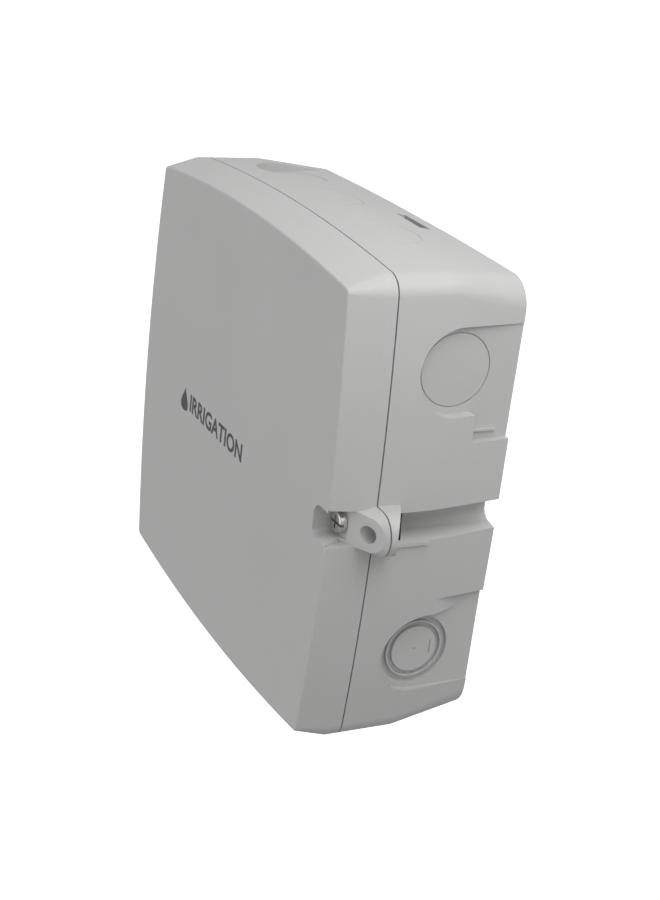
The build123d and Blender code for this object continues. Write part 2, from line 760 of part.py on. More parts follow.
control_panel = slab(panel_x, panel_mid_z, panel_wide, panel_tall, panel_depth - panel_skirt, panel_front,
                     panel_corner)
control_panel -= slab(panel_x, panel_mid_z, panel_wide - 2 * panel_skirt_thick,
                      panel_tall - 2 * panel_skirt_thick, panel_depth - panel_skirt - 1, panel_depth,
                      panel_corner - panel_skirt_thick)
control_panel = fillet(control_panel.faces().sort_by(Axis.Y)[0].edges(), 1.0)
for x, z in panel_boss_places:
    control_panel -= peg(x, z, screw_radius + 0.3, panel_depth - 1, panel_front + 1)
board_posts = [
    (board_left + board_post_inset, board_top - board_post_inset),
    (board_right - board_post_inset, board_top - board_post_inset),
    (board_left + board_post_inset, board_low + board_post_inset),
    (board_notch_x - board_post_inset, board_low + board_post_inset),
]
for x, z in board_posts:
    control_panel += peg(x, z, board_post_radius, board_front, panel_depth + 0.2)
    control_panel -= peg(x, z, board_screw_radius + pilot_clear, board_front - 1, board_front + 7)
control_panel -= display_opening
lens_seat = panel_front - lens_thick
control_panel -= slab(display_x, display_z, display_wide - 2 * lens_border + 2, display_high - 2 * lens_border + 2,
                      lens_seat, case_deep, 2.5)
for x, z in key_places:
    control_panel -= slab(x, z, key_wide + 2 * key_clear, key_high + 2 * key_clear, panel_depth - 1, case_deep,
                          key_corner)
control_panel -= program_slot + mode_slot
control_panel -= peg(dial_x, dial_z, rotary_bush_radius + 0.2, panel_depth - 1, case_deep)
control_panel += block(battery_x, battery_z, bay_wide + 2 * battery_bay_wall, bay_high + 2 * battery_bay_wall,
                       bay_back - battery_bay_wall, panel_depth + 0.2)
control_panel -= block(battery_x, battery_z, bay_wide, bay_high, bay_back, case_deep)
cover_near = panel_front + battery_cover_clear
battery_cover_wide = bay_wide + 2 * battery_cover_margin
battery_cover_high = bay_high + 2 * battery_cover_margin
rail_low = panel_low + panel_corner
rail_high = battery_z + battery_cover_high / 2 + battery_cover_clear + battery_rail_wide
rail_mid_z = (rail_low + rail_high) / 2
rail_front = cover_near + battery_cover_thick + battery_cover_clear
rails = block(battery_x, rail_mid_z, battery_cover_wide + 2 * battery_cover_clear + 2 * battery_rail_wide,
              rail_high - rail_low, panel_front - 0.2, rail_front + battery_rail_lip)
rails -= block(battery_x, rail_mid_z - battery_rail_wide, battery_cover_wide - 2 * battery_rail_lip,
               rail_high - rail_low, panel_front - 1, case_deep)
rails -= block(battery_x, rail_mid_z - battery_rail_wide, battery_cover_wide + 2 * battery_cover_clear,
               rail_high - rail_low, panel_front - 1, rail_front)
control_panel += rails
control_panel -= block(battery_x - bay_wide / 2 + battery_bay_clear + battery_long + 3, battery_z + 3, 8, 4,
                       bay_back - 2 * battery_bay_wall, bay_back + 1)
save("control_panel", control_panel)

battery_cover = block(battery_x, battery_z, battery_cover_wide, battery_cover_high, cover_near,
                      cover_near + battery_cover_thick)
battery_cover += block(battery_x, battery_z, battery_cover_wide - 2 * battery_rail_lip - 1,
                       battery_cover_high - 4, cover_near + 1, rail_front + battery_rail_lip)
for step in range(4):
    battery_cover -= block(battery_x, battery_z - 5 - 2.4 * step, 18, 1.0, rail_front + 1, case_deep)
save("battery_cover", battery_cover)

battery_left = battery_x - bay_wide / 2 + battery_bay_clear
battery = slab(battery_left + battery_long / 2, battery_z, battery_long, battery_high, bay_back,
               bay_back + battery_thick, 2)
battery_end = battery_left + battery_long
battery_mid_depth = bay_back + battery_thick / 2


def along_x(x0, x1, depth, z, radius):
    """A round bar from side to side."""
    return Pos((x0 + x1) / 2, -depth, z) * Rot(0, 90, 0) * Cylinder(radius, x1 - x0)


terminal_post = 2.2
battery_cell = battery
for z in (-6.4, 6.4):
    battery_cell += along_x(battery_end - 0.2, battery_end + terminal_post, battery_mid_depth, battery_z + z, 2.9)
save("battery", battery_cell)
battery_snap = block(battery_end + snap_long / 2, battery_z, snap_long, battery_high - 2,
                     battery_mid_depth - 6, battery_mid_depth + 6)
for z in (-6.4, 6.4):
    battery_snap -= along_x(battery_end - 1, battery_end + terminal_post + 0.3, battery_mid_depth, battery_z + z, 3.0)
save("battery_snap", battery_snap)

save("panel_screws", screws(panel_boss_places, panel_front, screw_radius, screw_head_radius, screw_head_high,
                            screw_long))

panel_label = slab(panel_x, panel_mid_z, panel_wide - 2 * label_margin, panel_tall - 2 * label_margin,
                   panel_front, panel_front + label_thick, 4)
for x, z in panel_boss_places:
    panel_label -= peg(x, z, screw_head_radius + 0.6, panel_front - 1, case_deep)
panel_label -= slab(display_x, display_z, display_wide - 6, display_high - 6, panel_front - 1, case_deep, 2)
for x, z in key_places:
    panel_label -= slab(x, z, key_wide + 3 * key_clear, key_high + 3 * key_clear, panel_front - 1, case_deep,
                        key_corner)
panel_label -= program_slot + mode_slot
panel_label -= peg(dial_x, dial_z, rotary_nut_radius + 0.5, panel_front - 1, case_deep)
panel_label -= block(battery_x, rail_mid_z - 10,
                     battery_cover_wide + 2 * battery_cover_clear + 2 * battery_rail_wide + 1,
                     rail_high - rail_low + 21, panel_front - 1, case_deep)
save("panel_label", panel_label)

# ---- Display ----
display_lens = slab(display_x, display_z, display_wide - 2 * lens_border + 1.8,
                    display_high - 2 * lens_border + 1.8, lens_seat, panel_front, 2.3)
save("display_lens", display_lens)
display_module = block(display_x, display_z, display_wide, display_high, board_front, panel_depth - 1)
display_module -= block(display_x, display_z, display_wide - 6, display_high - 6,
                        panel_depth - 1 - display_glass_thick, panel_depth)
save("display_frame", display_module)
display_glass = block(display_x, display_z, display_wide - 6.2, display_high - 6.2,
                      panel_depth - 1 - display_glass_thick, panel_depth - 1.3)
save("display_glass", display_glass)

# ---- Keys and their switches ----
key_back = panel_depth - key_clear
switch_front = board_front + key_switch_high
key_names = ["key_minus", "key_plus", "key_next", "key_manual", "key_program", "key_cancel"]
switches = Part()
for name, (x, z) in zip(key_names, key_places):
    cap = slab(x, z, key_wide, key_high, key_back - key_flange_thick, panel_front + key_proud, key_corner - 0.4)
    cap = fillet(cap.faces().sort_by(Axis.Y)[0].edges(), 0.8)
    cap += slab(x, z, key_wide + 2 * key_flange, key_high + 2 * key_flange, key_back - key_flange_thick,
                key_back, 2)
    cap += peg(x, z, key_stem_radius, switch_front + key_travel + 0.2, key_back)
    save(name, cap)
    switches += block(x, z, key_switch_wide, key_switch_wide, board_front, board_front + 3.4)
    switches += peg(x, z, 1.7, board_front + 3, switch_front)
save("key_switches", switches)

# ---- Program dial ----
dial_near = panel_front + dial_gap + rotary_nut_thick
program_dial = peg(dial_x, dial_z, dial_radius, dial_near, dial_near + dial_thick)
program_dial = fillet(program_dial.edges().filter_by(GeomType.CIRCLE).sort_by(Axis.Y)[0], 2.0)
grip = slab(dial_x, dial_z, dial_grip_wide, 1.7 * dial_radius, dial_near + dial_thick - 1,
            dial_near + dial_thick + dial_grip_high, dial_grip_wide / 2 - 0.1)
program_dial += fillet(grip.faces().sort_by(Axis.Y)[0].edges(), 1.5)
program_dial -= block(dial_x, dial_z + 0.6 * dial_radius, 1.2, 0.35 * dial_radius,
                      dial_near + dial_thick + dial_grip_high - 0.8, case_deep)
for turn in range(36):
    place = Rot(0, 10 * turn, 0) * Pos(dial_radius + 0.35, 0, 0)
    notch = Pos(dial_x, 0, dial_z) * place * Pos(0, -dial_near - 2.5, 0) * Rot(90, 0, 0) * Cylinder(1.0, 5.2)
    program_dial -= notch
shaft_reach = 9.0
program_dial -= peg(dial_x, dial_z, dial_shaft_radius, dial_near - 1, dial_near + shaft_reach)
save("program_dial", program_dial)
dial_shaft = peg(dial_x, dial_z, dial_shaft_radius, board_front + 2.5, dial_near + shaft_reach)
save("dial_shaft", dial_shaft)
rotary_switch = block(dial_x, dial_z, rotary_wide, rotary_wide, board_front, board_front + rotary_high)
rotary_switch += peg(dial_x, dial_z, rotary_bush_radius, board_front + rotary_high - 0.2,
                     panel_front + rotary_nut_thick + 0.4)
rotary_switch -= peg(dial_x, dial_z, dial_shaft_radius + dial_shaft_clear, board_front + 2, case_deep)
save("rotary_switch", rotary_switch)
rotary_nut = extrude(at_depth(panel_front + label_thick) * Pos(dial_x, dial_z) * RegularPolygon(
    rotary_nut_radius, 6), rotary_nut_thick)
rotary_nut -= peg(dial_x, dial_z, rotary_bush_radius + 0.02, panel_front - 1, case_deep)
save("rotary_nut", rotary_nut)


# ---- Slide switches ----
def slide_knob(x):
    knob_back = board_front + slide_switch_high - 1.2
    knob = slab(x, slider_z, slider_wide, slider_high, panel_depth - 2, panel_front + slider_proud, 0.9)
    knob = fillet(knob.faces().sort_by(Axis.Y)[0].edges(), 0.6)
    knob += block(x, slider_z, slider_wide - 3, slider_high - 1.6, knob_back, panel_depth - 1.5)
    return knob


def slide_body(x, travel):
    inner = slider_wide - 3 + 2 * travel + 2 * slider_clear
    body = block(x, slider_z, inner + 2 * slide_switch_wall, slider_high + 6, board_front,
                 board_front + slide_switch_high)
    return body - block(x, slider_z, inner, slider_high - 1.6 + 2 * slider_clear,
                        board_front + slide_switch_high - 1.6, case_deep)


save("program_slider", slide_knob(program_slider_x))
save("mode_slider", slide_knob(mode_slider_x))
save("slide_switches", slide_body(program_slider_x, program_slider_travel)
     + slide_body(mode_slider_x, mode_slider_travel))

# ---- Circuit board ----
board_high_mid = (board_low + board_top) / 2
circuit_board = block(panel_x, board_high_mid, board_wide, board_top - board_low, board_depth, board_front)
circuit_board -= block(board_notch_x + 100, board_notch_z - 50, 200, 100, 0, case_deep)
for x, z in board_posts:
    circuit_board -= peg(x, z, board_screw_radius + 0.2, 0, case_deep)
save("circuit_board", circuit_board)
board_screws = Part()
for x, z in board_posts:
    head = peg(x, z, board_screw_head_radius, board_depth - board_screw_head_high, board_depth)
    head = fillet(head.edges().filter_by(GeomType.CIRCLE).sort_by(Axis.Y)[-1], 0.7)
    board_screws += head + peg(x, z, board_screw_radius, board_depth, board_front + 6)
save("board_screws", board_screws)
controller_chip = block(-30, 20, 24, 14, board_depth - 3, board_depth)
controller_chip += block(-30, 45, 10, 10, board_depth - 2, board_depth)
save("controller_chips", controller_chip)
capacitors = Part()
for x, z, radius, tall in ((40, 80, 5, 14), (54, 80, 5, 14), (66, 62, 4, 11)):
    can = peg(x, z, radius, board_depth - tall, board_depth)
    capacitors += fillet(can.edges().filter_by(GeomType.CIRCLE).sort_by(Axis.Y)[-1], 0.6)
save("capacitors", capacitors)
header_x = -10.0
board_header = block(header_x, board_low + 6, ribbon_wide + 2, 6, board_depth - header_tall, board_depth)
save("board_header", board_header)

# ---- Terminal board ----
terminal_front = terminal_board_depth + board_thick
terminal_board = block(terminal_board_x, terminal_board_z, terminal_board_wide, terminal_board_high,
                       terminal_board_depth, terminal_front)
for x, z in terminal_standoffs:
    terminal_board -= peg(x, z, board_screw_radius + 0.2, 0, case_deep)
save("terminal_board", terminal_board)
save("terminal_board_screws", screws(terminal_standoffs, terminal_front, board_screw_radius,
                                     board_screw_head_radius, board_screw_head_high, boss_screw_long))
strip_z = terminal_board_z - terminal_drop + 1
strip_long = terminal_count * terminal_pitch + terminal_wall
strip_x = terminal_board_x
terminal_xs = [strip_x + (i - (terminal_count - 1) / 2) * terminal_pitch for i in range(terminal_count)]
terminal_strip = block(strip_x, strip_z, strip_long, terminal_high, terminal_front, terminal_front + terminal_tall)
terminal_places = [(x, strip_z + 1) for x in terminal_xs]
screw_well = 5.0
clamp_high = 6.0
for x, z in terminal_places:
    terminal_strip -= peg(x, z, terminal_screw_head_radius + 0.4, terminal_front + terminal_tall - screw_well,
                          terminal_front + terminal_tall + 1)
    terminal_strip -= block(x, strip_z - 2, terminal_pitch - 2 * terminal_wall, terminal_high - 2,
                            terminal_front + 3, terminal_front + 3 + clamp_high)
    terminal_strip -= peg(x, z, terminal_screw_radius + 0.1, terminal_front + 5, terminal_front + terminal_tall)
save("terminal_strip", terminal_strip)
clamps = Part()
for x, z in terminal_places:
    cage = block(x, z, terminal_pitch - 2 * terminal_wall - 0.4, 6.0, terminal_front + 3, terminal_front + 8.8)
    clamps += cage - block(x, z, terminal_pitch - 2 * terminal_wall - 1.6, 8, terminal_front + 3.8,
                           terminal_front + 7.4)
    clamps -= peg(x, z, terminal_screw_radius + 0.1, terminal_front + 7, terminal_front + 10)
save("terminal_clamps", clamps)
terminal_screw_seat = terminal_front + terminal_tall - screw_well
save("terminal_screws", screws(terminal_places, terminal_screw_seat, terminal_screw_radius,
                               terminal_screw_head_radius, 2.0, 4.6))
triacs = Part()
triac_z = terminal_board_z + 4
triac_places = [(terminal_board_x - 20 + i * (triac_wide - 1.0), triac_z) for i in range(triac_count)]
for x, z in triac_places:
    base = terminal_front + triac_leg
    triacs += block(x, z, triac_wide - 2, triac_thick, base, base + 9)
    triacs += block(x, z + triac_thick / 2 - 0.6, triac_wide - 2, 1.2, base + 8.8, base + triac_tall)
    triacs -= Pos(x, -(base + 12), z) * Cylinder(1.6, 3 * triac_thick)
    for leg in (-2.5, 0, 2.5):
        triacs += block(x + leg, z, 0.8, 0.5, terminal_front, base + 0.2)
save("triacs", triacs)
fuse_x = terminal_board_x + 4
fuse_z = terminal_board_z + 18
fuse_depth = terminal_front + 6
fuse = along_x(fuse_x - fuse_long / 2 + fuse_cap, fuse_x + fuse_long / 2 - fuse_cap, fuse_depth, fuse_z,
               fuse_radius - 0.2)
save("fuse_tube", fuse)
caps = Part()
clips = Part()
for side in (-1, 1):
    x0 = fuse_x + side * fuse_long / 2
    x1 = x0 - side * fuse_cap
    caps += along_x(min(x0, x1), max(x0, x1), fuse_depth, fuse_z, fuse_radius)
    clip = along_x(min(x0, x1) + 0.6, max(x0, x1) - 0.6, fuse_depth, fuse_z, fuse_radius + 0.6)
    clip += block((x0 + x1) / 2, fuse_z, fuse_cap - 1.2, 2 * fuse_radius + 1.2, terminal_front, fuse_depth)
    clip -= along_x(min(x0, x1) - 1, max(x0, x1) + 1, fuse_depth, fuse_z, fuse_radius)
    clip -= block((x0 + x1) / 2, fuse_z, 9, 2 * fuse_radius - 1.6, fuse_depth, fuse_depth + 9)
    clip -= block((x0 + x1) / 2, fuse_z, 9, 2 * fuse_radius - 1.0, terminal_front + 0.8, fuse_depth)
    clips += clip
save("fuse_caps", caps)
save("fuse_clips", clips)
strip_header = block(header_x, fuse_z, ribbon_wide + 2, 6, terminal_front, terminal_front + header_tall)
save("strip_header", strip_header)

# ---- Transformer ----
core_far = transformer_depth + core_window_tall + 2 * core_yoke
window_near = transformer_depth + core_yoke
window_far = window_near + core_window_tall
transformer_core = block(transformer_x, transformer_z, core_wide, core_stack, transformer_depth, core_far)
for side in (-1, 1):
    transformer_core -= block(transformer_x + side * (core_leg + core_window) / 2, transformer_z, core_window,
                              2 * core_stack, window_near, window_far)
save("transformer_core", transformer_core)

tube_wide = core_leg + 2 * bobbin_clear + 2 * bobbin_thick
tube_high = core_stack + 2 * bobbin_clear + 2 * bobbin_thick
flange_wide = core_leg + 2 * core_window - 2 * bobbin_clear
flange_high = core_stack + 2 * coil_swell
bobbin_near = window_near + bobbin_clear
bobbin_far = window_far - bobbin_clear
transformer_bobbin = block(transformer_x, transformer_z, tube_wide, tube_high, bobbin_near, bobbin_far)
for near in (bobbin_near, bobbin_far - bobbin_thick):
    transformer_bobbin += block(transformer_x, transformer_z, flange_wide, flange_high, near,
                                near + bobbin_thick)
transformer_bobbin -= block(transformer_x, transformer_z, core_leg + 2 * bobbin_clear,
                            core_stack + 2 * bobbin_clear, 0, case_deep)
save("transformer_bobbin", transformer_bobbin)
coil_near = bobbin_near + bobbin_thick
coil_far = bobbin_far - bobbin_thick
transformer_coil = block(transformer_x, transformer_z, flange_wide - 1, flange_high - 1.6, coil_near, coil_far)
transformer_coil = fillet(transformer_coil.edges().filter_by(Axis.Y), 5)
transformer_coil -= block(transformer_x, transformer_z, tube_wide, tube_high, 0, case_deep)
save("transformer_coil", transformer_coil)

transformer_frame = block(transformer_x, transformer_z, core_wide + 2 * frame_thick, core_stack,
                          transformer_depth, core_far + frame_thick)
transformer_frame -= block(transformer_x, transformer_z, core_wide, 2 * core_stack, 0, core_far)
for x, z in transformer_feet:
    transformer_frame += block(x, z, foot_reach, core_stack, transformer_depth,
                               transformer_depth + frame_thick)
    transformer_frame -= peg(x, z, screw_radius + 0.3, 0, case_deep)
save("transformer_frame", transformer_frame)
save("transformer_screws", screws(transformer_feet, transformer_depth + frame_thick, screw_radius,
                                  screw_head_radius, screw_head_high, boss_screw_long))

# ---- Line-voltage cover: open towards the left knock-out, with a hole for the leads ----
lead_depths = [20.0, 23.0]
lead_run_z = transformer_z + flange_high / 2 + 4
cover_near = wall + 0.4
line_cover = block(cover_x, transformer_z, cover_wide, cover_high, cover_near, cover_front)
line_cover = fillet(line_cover.edges().filter_by_position(Axis.Y, -cover_front - 0.01, -cover_front + 0.01), 3)
line_cover -= block(cover_x - cover_thick, transformer_z, cover_wide, cover_high - 2 * cover_thick,
                    0, cover_front - cover_thick)
for x, z in cover_screw_places:
    line_cover += block(x, z, cover_tab, cover_tab, transformer_depth, transformer_depth + cover_thick)
    line_cover -= peg(x, z, screw_radius + 0.3, 0, case_deep)
for vent in range(cover_vents):
    z = transformer_z + (vent - (cover_vents - 1) / 2) * 3 * cover_vent_high
    line_cover -= slab(cover_x, z, cover_wide - 26, cover_vent_high, cover_front - 2 * cover_thick, case_deep, 1.1)
lead_hole = (lead_depths[0] + lead_depths[1]) / 2
line_cover -= along_x(cover_x + cover_wide / 2 - 4, cover_x + cover_wide / 2 + 1, lead_hole, lead_run_z, 3.4)
save("line_cover", line_cover)
save("line_cover_screws", screws(cover_screw_places, transformer_depth + cover_thick, screw_radius,
                                 screw_head_radius, screw_head_high, boss_screw_long))

# ---- Ground lug ----
lug_near = transformer_depth
ground_lug = block(lug_place[0], lug_place[1], 14, 8, lug_near, lug_near + lug_thick)
ground_lug -= peg(lug_place[0], lug_place[1], screw_radius + 0.2, 0, case_deep)
for side in (-1, 1):
    ground_lug += block(lug_place[0] + side * 6.4, lug_place[1], lug_thick, 8, lug_near, lug_near + 5)
save("ground_lug", ground_lug)
save("ground_screw", screws([lug_place], lug_near + lug_thick, screw_radius, screw_head_radius,
                            screw_head_high, boss_screw_long))


# ---- Wiring inside the case ----
def wire(points):
    """An insulated lead along straight runs with round bends, from X, depth and Z points."""
    path_points = [Vector(x, -depth, z) for x, depth, z in points]
    radii = []
    for before, corner, after in zip(path_points, path_points[1:], path_points[2:]):
        turn = (corner - before).get_angle(after - corner)
        shorter = min((corner - before).length, (after - corner).length)
        radii.append(min(wire_bend, 0.45 * shorter / tan(radians(turn / 2))))
    path = FilletPolyline(*path_points, radius=radii)
    start = Plane(origin=path @ 0, z_dir=path % 0)
    return sweep(start * Circle(wire_radius), path=path)


transformer_leads = Part()
for index, depth in enumerate(lead_depths):
    coil_x = transformer_x + 7 - 5 * index
    end_z = terminal_board_z + 10 - 5 * index
    transformer_leads += wire([
        (coil_x, depth, transformer_z + flange_high / 2 - 0.8),
        (coil_x, depth, lead_run_z),
        (lead_end_x, depth, lead_run_z),
        (lead_end_x, depth, end_z),
        (lead_end_x, terminal_front, end_z),
    ])
save("transformer_leads", transformer_leads)

battery_leads = Part()
for index in range(2):
    x = battery_end + 1.5 + 3 * index
    battery_leads += wire([
        (x, battery_mid_depth - 6, battery_z + 3),
        (x, board_depth - 9, battery_z + 3),
        (x, board_depth - 9, board_notch_z + 4),
        (x, board_depth, board_notch_z + 4),
    ])
save("battery_leads", battery_leads)

ribbon_top = board_low + 6
ribbon_line = FilletPolyline(
    (-(board_depth - header_tall), ribbon_top),
    (-(board_depth - header_tall - ribbon_slack), ribbon_top),
    (-(terminal_front + header_tall + ribbon_slack), fuse_z),
    (-(terminal_front + header_tall), fuse_z),
    radius=2.5,
)
ribbon_cable = extrude(Plane.YZ.offset(header_x - ribbon_wide / 2) * trace(ribbon_line, ribbon_thick), ribbon_wide)
save("ribbon_cable", ribbon_cable)
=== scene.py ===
import bmesh
import bpy
import random
from math import cos, pi, radians, sin
from mathutils import Matrix, Vector


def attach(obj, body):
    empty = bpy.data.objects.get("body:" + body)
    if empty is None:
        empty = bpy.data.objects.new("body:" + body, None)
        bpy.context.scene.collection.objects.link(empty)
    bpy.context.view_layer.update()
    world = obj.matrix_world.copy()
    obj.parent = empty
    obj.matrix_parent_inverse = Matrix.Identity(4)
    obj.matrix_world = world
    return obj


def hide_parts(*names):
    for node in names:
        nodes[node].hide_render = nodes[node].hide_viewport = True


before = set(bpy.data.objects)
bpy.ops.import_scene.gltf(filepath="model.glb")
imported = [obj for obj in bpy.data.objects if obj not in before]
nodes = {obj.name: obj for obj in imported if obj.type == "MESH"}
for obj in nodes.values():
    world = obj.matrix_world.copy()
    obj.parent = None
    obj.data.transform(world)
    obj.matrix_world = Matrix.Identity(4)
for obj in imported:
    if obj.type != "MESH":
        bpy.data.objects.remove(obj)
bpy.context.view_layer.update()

# ---- Camera and studio ----
# The controller is seen from its right front and a little above, before a plain white ground.
# A soft light stands above its right side and the surround is brighter from above.
scene = bpy.context.scene
scene.view_settings.view_transform = "Standard"
camera_place = Vector((0.6665, -0.3865, 0.2873))
camera_sight = Vector((-0.81857, 0.43873, -0.37076))
camera_roll = radians(6.93)
camera = bpy.data.objects.new("camera", bpy.data.cameras.new("camera"))
camera.data.lens = 63.3
camera.data.sensor_width = 36.0
camera.location = camera_place
camera.rotation_mode = "QUATERNION"
roll = Matrix.Rotation(camera_roll, 3, "Z").to_quaternion()
camera.rotation_quaternion = camera_sight.to_track_quat("-Z", "Y") @ roll
scene.collection.objects.link(camera)
scene.camera = camera

world = bpy.data.worlds.new("surround")
world.use_nodes = True
scene.world = world
sky = world.node_tree.nodes
link_sky = world.node_tree.links.new
direction = sky.new("ShaderNodeTexCoord")
split = sky.new("ShaderNodeSeparateXYZ")
rise = sky.new("ShaderNodeMapRange")
rise.inputs["From Min"].default_value = -1.0
rise.inputs["To Min"].default_value = 0.30
rise.inputs["To Max"].default_value = 0.74
surround = sky["Background"]
surround.inputs["Color"].default_value = (1.0, 1.0, 1.0, 1.0)
backdrop = sky.new("ShaderNodeBackground")
backdrop.inputs["Color"].default_value = (1.0, 1.0, 1.0, 1.0)
seen = sky.new("ShaderNodeLightPath")
choose = sky.new("ShaderNodeMixShader")
link_sky(direction.outputs["Generated"], split.inputs[0])
link_sky(split.outputs["Z"], rise.inputs["Value"])
link_sky(rise.outputs["Result"], surround.inputs["Strength"])
link_sky(seen.outputs["Is Camera Ray"], choose.inputs[0])
link_sky(surround.outputs[0], choose.inputs[1])
link_sky(backdrop.outputs[0], choose.inputs[2])
link_sky(choose.outputs[0], sky["World Output"].inputs[0])

floor_drop = 0.35
floor_reach = 6.0
below = Matrix.Translation((0, 0, -floor_drop))
bm = bmesh.new()
bmesh.ops.create_grid(bm, x_segments=1, y_segments=1, size=floor_reach, matrix=below)
floor = bpy.data.objects.new("floor", bpy.data.meshes.new("floor"))
bm.to_mesh(floor.data)
bm.free()
scene.collection.objects.link(floor)
floor_paint = bpy.data.materials.new("floor_paint")
floor_paint.use_nodes = True
floor_shader = floor_paint.node_tree.nodes["Principled BSDF"]
floor_shader.inputs["Base Color"].default_value = (0.9, 0.9, 0.9, 1)
floor_shader.inputs["Roughness"].default_value = 0.9
floor_shader.inputs["Emission Color"].default_value = (1, 1, 1, 1)
floor_shader.inputs["Emission Strength"].default_value = 0.6
floor.data.materials.append(floor_paint)
floor.visible_diffuse = False
floor.visible_glossy = False

for name, place, size, power in (
    ("right_softbox", (0.32, 0.0, 0.38), 0.35, 1.0),
    ("overhead_softbox", (0.0, 0.15, 0.8), 0.5, 0.4),
    ("front_softbox", (-0.1, -1.5, 0.05), 1.0, 4.6),
):
    lamp = bpy.data.lights.new(name, "AREA")
    lamp.size = size
    lamp.energy = power
    holder = bpy.data.objects.new(name, lamp)
    holder.location = place
    holder.rotation_mode = "QUATERNION"
    holder.rotation_quaternion = (-Vector(place)).to_track_quat("-Z", "Y")
    scene.collection.objects.link(holder)


# ---- Case plastic ----
# The door and the back case are one light grey polycarbonate, moulded against a finely eroded
# tool, so the skin is satin with a faint grain. Its rounded rims are glossier and painted lighter in
# patches, a painted highlight.
class Wire:
    """A value on a node's socket; an expression on values adds its Math nodes."""

    def __init__(self, finish, socket):
        self.finish = finish
        self.socket = socket

    def math(self, operation, *values):
        return self.finish.node("ShaderNodeMath", {"operation": operation}, dict(enumerate(values)))

    def __add__(self, other):
        return self.math("ADD", self, other)

    def __sub__(self, other):
        return self.math("SUBTRACT", self, other)

    def __mul__(self, other):
        return self.math("MULTIPLY", self, other)

    def __rsub__(self, other):
        return self.math("SUBTRACT", other, self)

    def one(self, operation):
        """A Math operation on this value alone."""
        return self.math(operation, self)

    __radd__ = __add__

    def over(self, edge, blur):
        """0 below edge, 1 above edge + blur."""
        limits = {0: self, 1: edge, 2: edge + blur}
        return self.finish.node("ShaderNodeMapRange", {"clamp": True}, limits)


class Finish:
    """A Principled material, with the nodes that vary it over the surface."""

    def __init__(self, name, color, roughness, **fixed):
        self.material = bpy.data.materials.new(name)
        self.material.use_nodes = True
        self.tree = self.material.node_tree
        self.shader = self.tree.nodes["Principled BSDF"]
        self.set("Base Color", color)
        self.set("Roughness", roughness)
        for key, value in fixed.items():
            self.set(key.replace("_", " "), value)

    def put(self, socket, value):
        if isinstance(value, Wire):
            self.tree.links.new(value.socket, socket)
        elif isinstance(value, tuple) and socket.type == "RGBA":
            socket.default_value = (*value, 1.0)
        else:
            socket.default_value = value

    def set(self, name, value):
        self.put(self.shader.inputs[name], value)

    def node(self, kind, settings=(), values=(), out=0):
        made = self.tree.nodes.new(kind)
        for key, value in dict(settings).items():
            setattr(made, key, value)
        for key, value in dict(values).items():
            self.put(made.inputs[key], value)
        return Wire(self, made.outputs[out])

    def place(self, scale=(1, 1, 1)):
        """Object coordinates, stretched along the axes."""
        where = self.node("ShaderNodeTexCoord", out="Object")
        return self.node("ShaderNodeMapping", {}, {"Vector": where, "Scale": scale})

    def axis(self, index):
        """One object coordinate, in metres."""
        where = self.node("ShaderNodeTexCoord", out="Object")
        return self.node("ShaderNodeSeparateXYZ", {}, {0: where}, out=index)

    def noise(self, scale, detail=2.0, at=None):
        at = at or self.place()
        return self.node("ShaderNodeTexNoise", {}, {"Vector": at, "Scale": scale, "Detail": detail})

    def mix(self, factor, first, second):
        blend = self.node("ShaderNodeMix", {"data_type": "RGBA"}, out=2)
        inputs = blend.socket.node.inputs
        self.put(inputs[0], factor)
        self.put(inputs[6], first)
        self.put(inputs[7], second)
        return blend

    def attribute(self, name):
        return self.node("ShaderNodeAttribute", {"attribute_name": name}, out="Fac")

    def bump(self, height, distance):
        self.set("Normal", self.node("ShaderNodeBump", {}, {"Height": height, "Distance": distance}))


def moulded(name, color, roughness=0.42, grain=0.00003, rim_sheen=True):
    """Moulded plastic: spark-eroded grain, faint flow mottling, and glossier rims with a painted highlight.
    """
    finish = Finish(name, color, roughness, Specular_IOR_Level=0.45)
    light = tuple(min(1.0, c * 1.05 + 0.01) for c in color)
    dark = tuple(c * 0.95 for c in color)
    rim_highlight_tone = tuple(min(1.0, c * 1.14 + 0.02) for c in color)
    clouds = finish.noise(14.0, detail=3.0)
    specks = finish.noise(900.0, detail=2.0)
    tone = finish.mix(clouds * 0.7 + specks * 0.3, dark, light)
    rim_patches = finish.noise(60.0, detail=4.0).over(0.52, 0.25)
    rough = roughness + (clouds - 0.5) * 0.16 + (specks - 0.5) * 0.14
    if rim_sheen:
        # Painted highlight: the rounded rims are painted lighter in patches, and their roughness is
        # lowered.
        rim = finish.attribute("rim") * (0.35 + rim_patches * 0.65)
        tone = finish.mix(rim, tone, rim_highlight_tone)
        rough = rough - rim * 0.12
    finish.set("Base Color", tone)
    finish.set("Roughness", rough)
    fine = finish.noise(2600.0, detail=1.0)
    coarse = finish.noise(700.0, detail=2.0)
    finish.bump(fine * 0.6 + coarse * 0.4, grain)
    return finish


case_grey = (0.50, 0.50, 0.495)
case_finish = moulded("case_polycarbonate", case_grey)
weld_gap = 2e-6
flat_angle = radians(0.6)
shade_angle = radians(40)


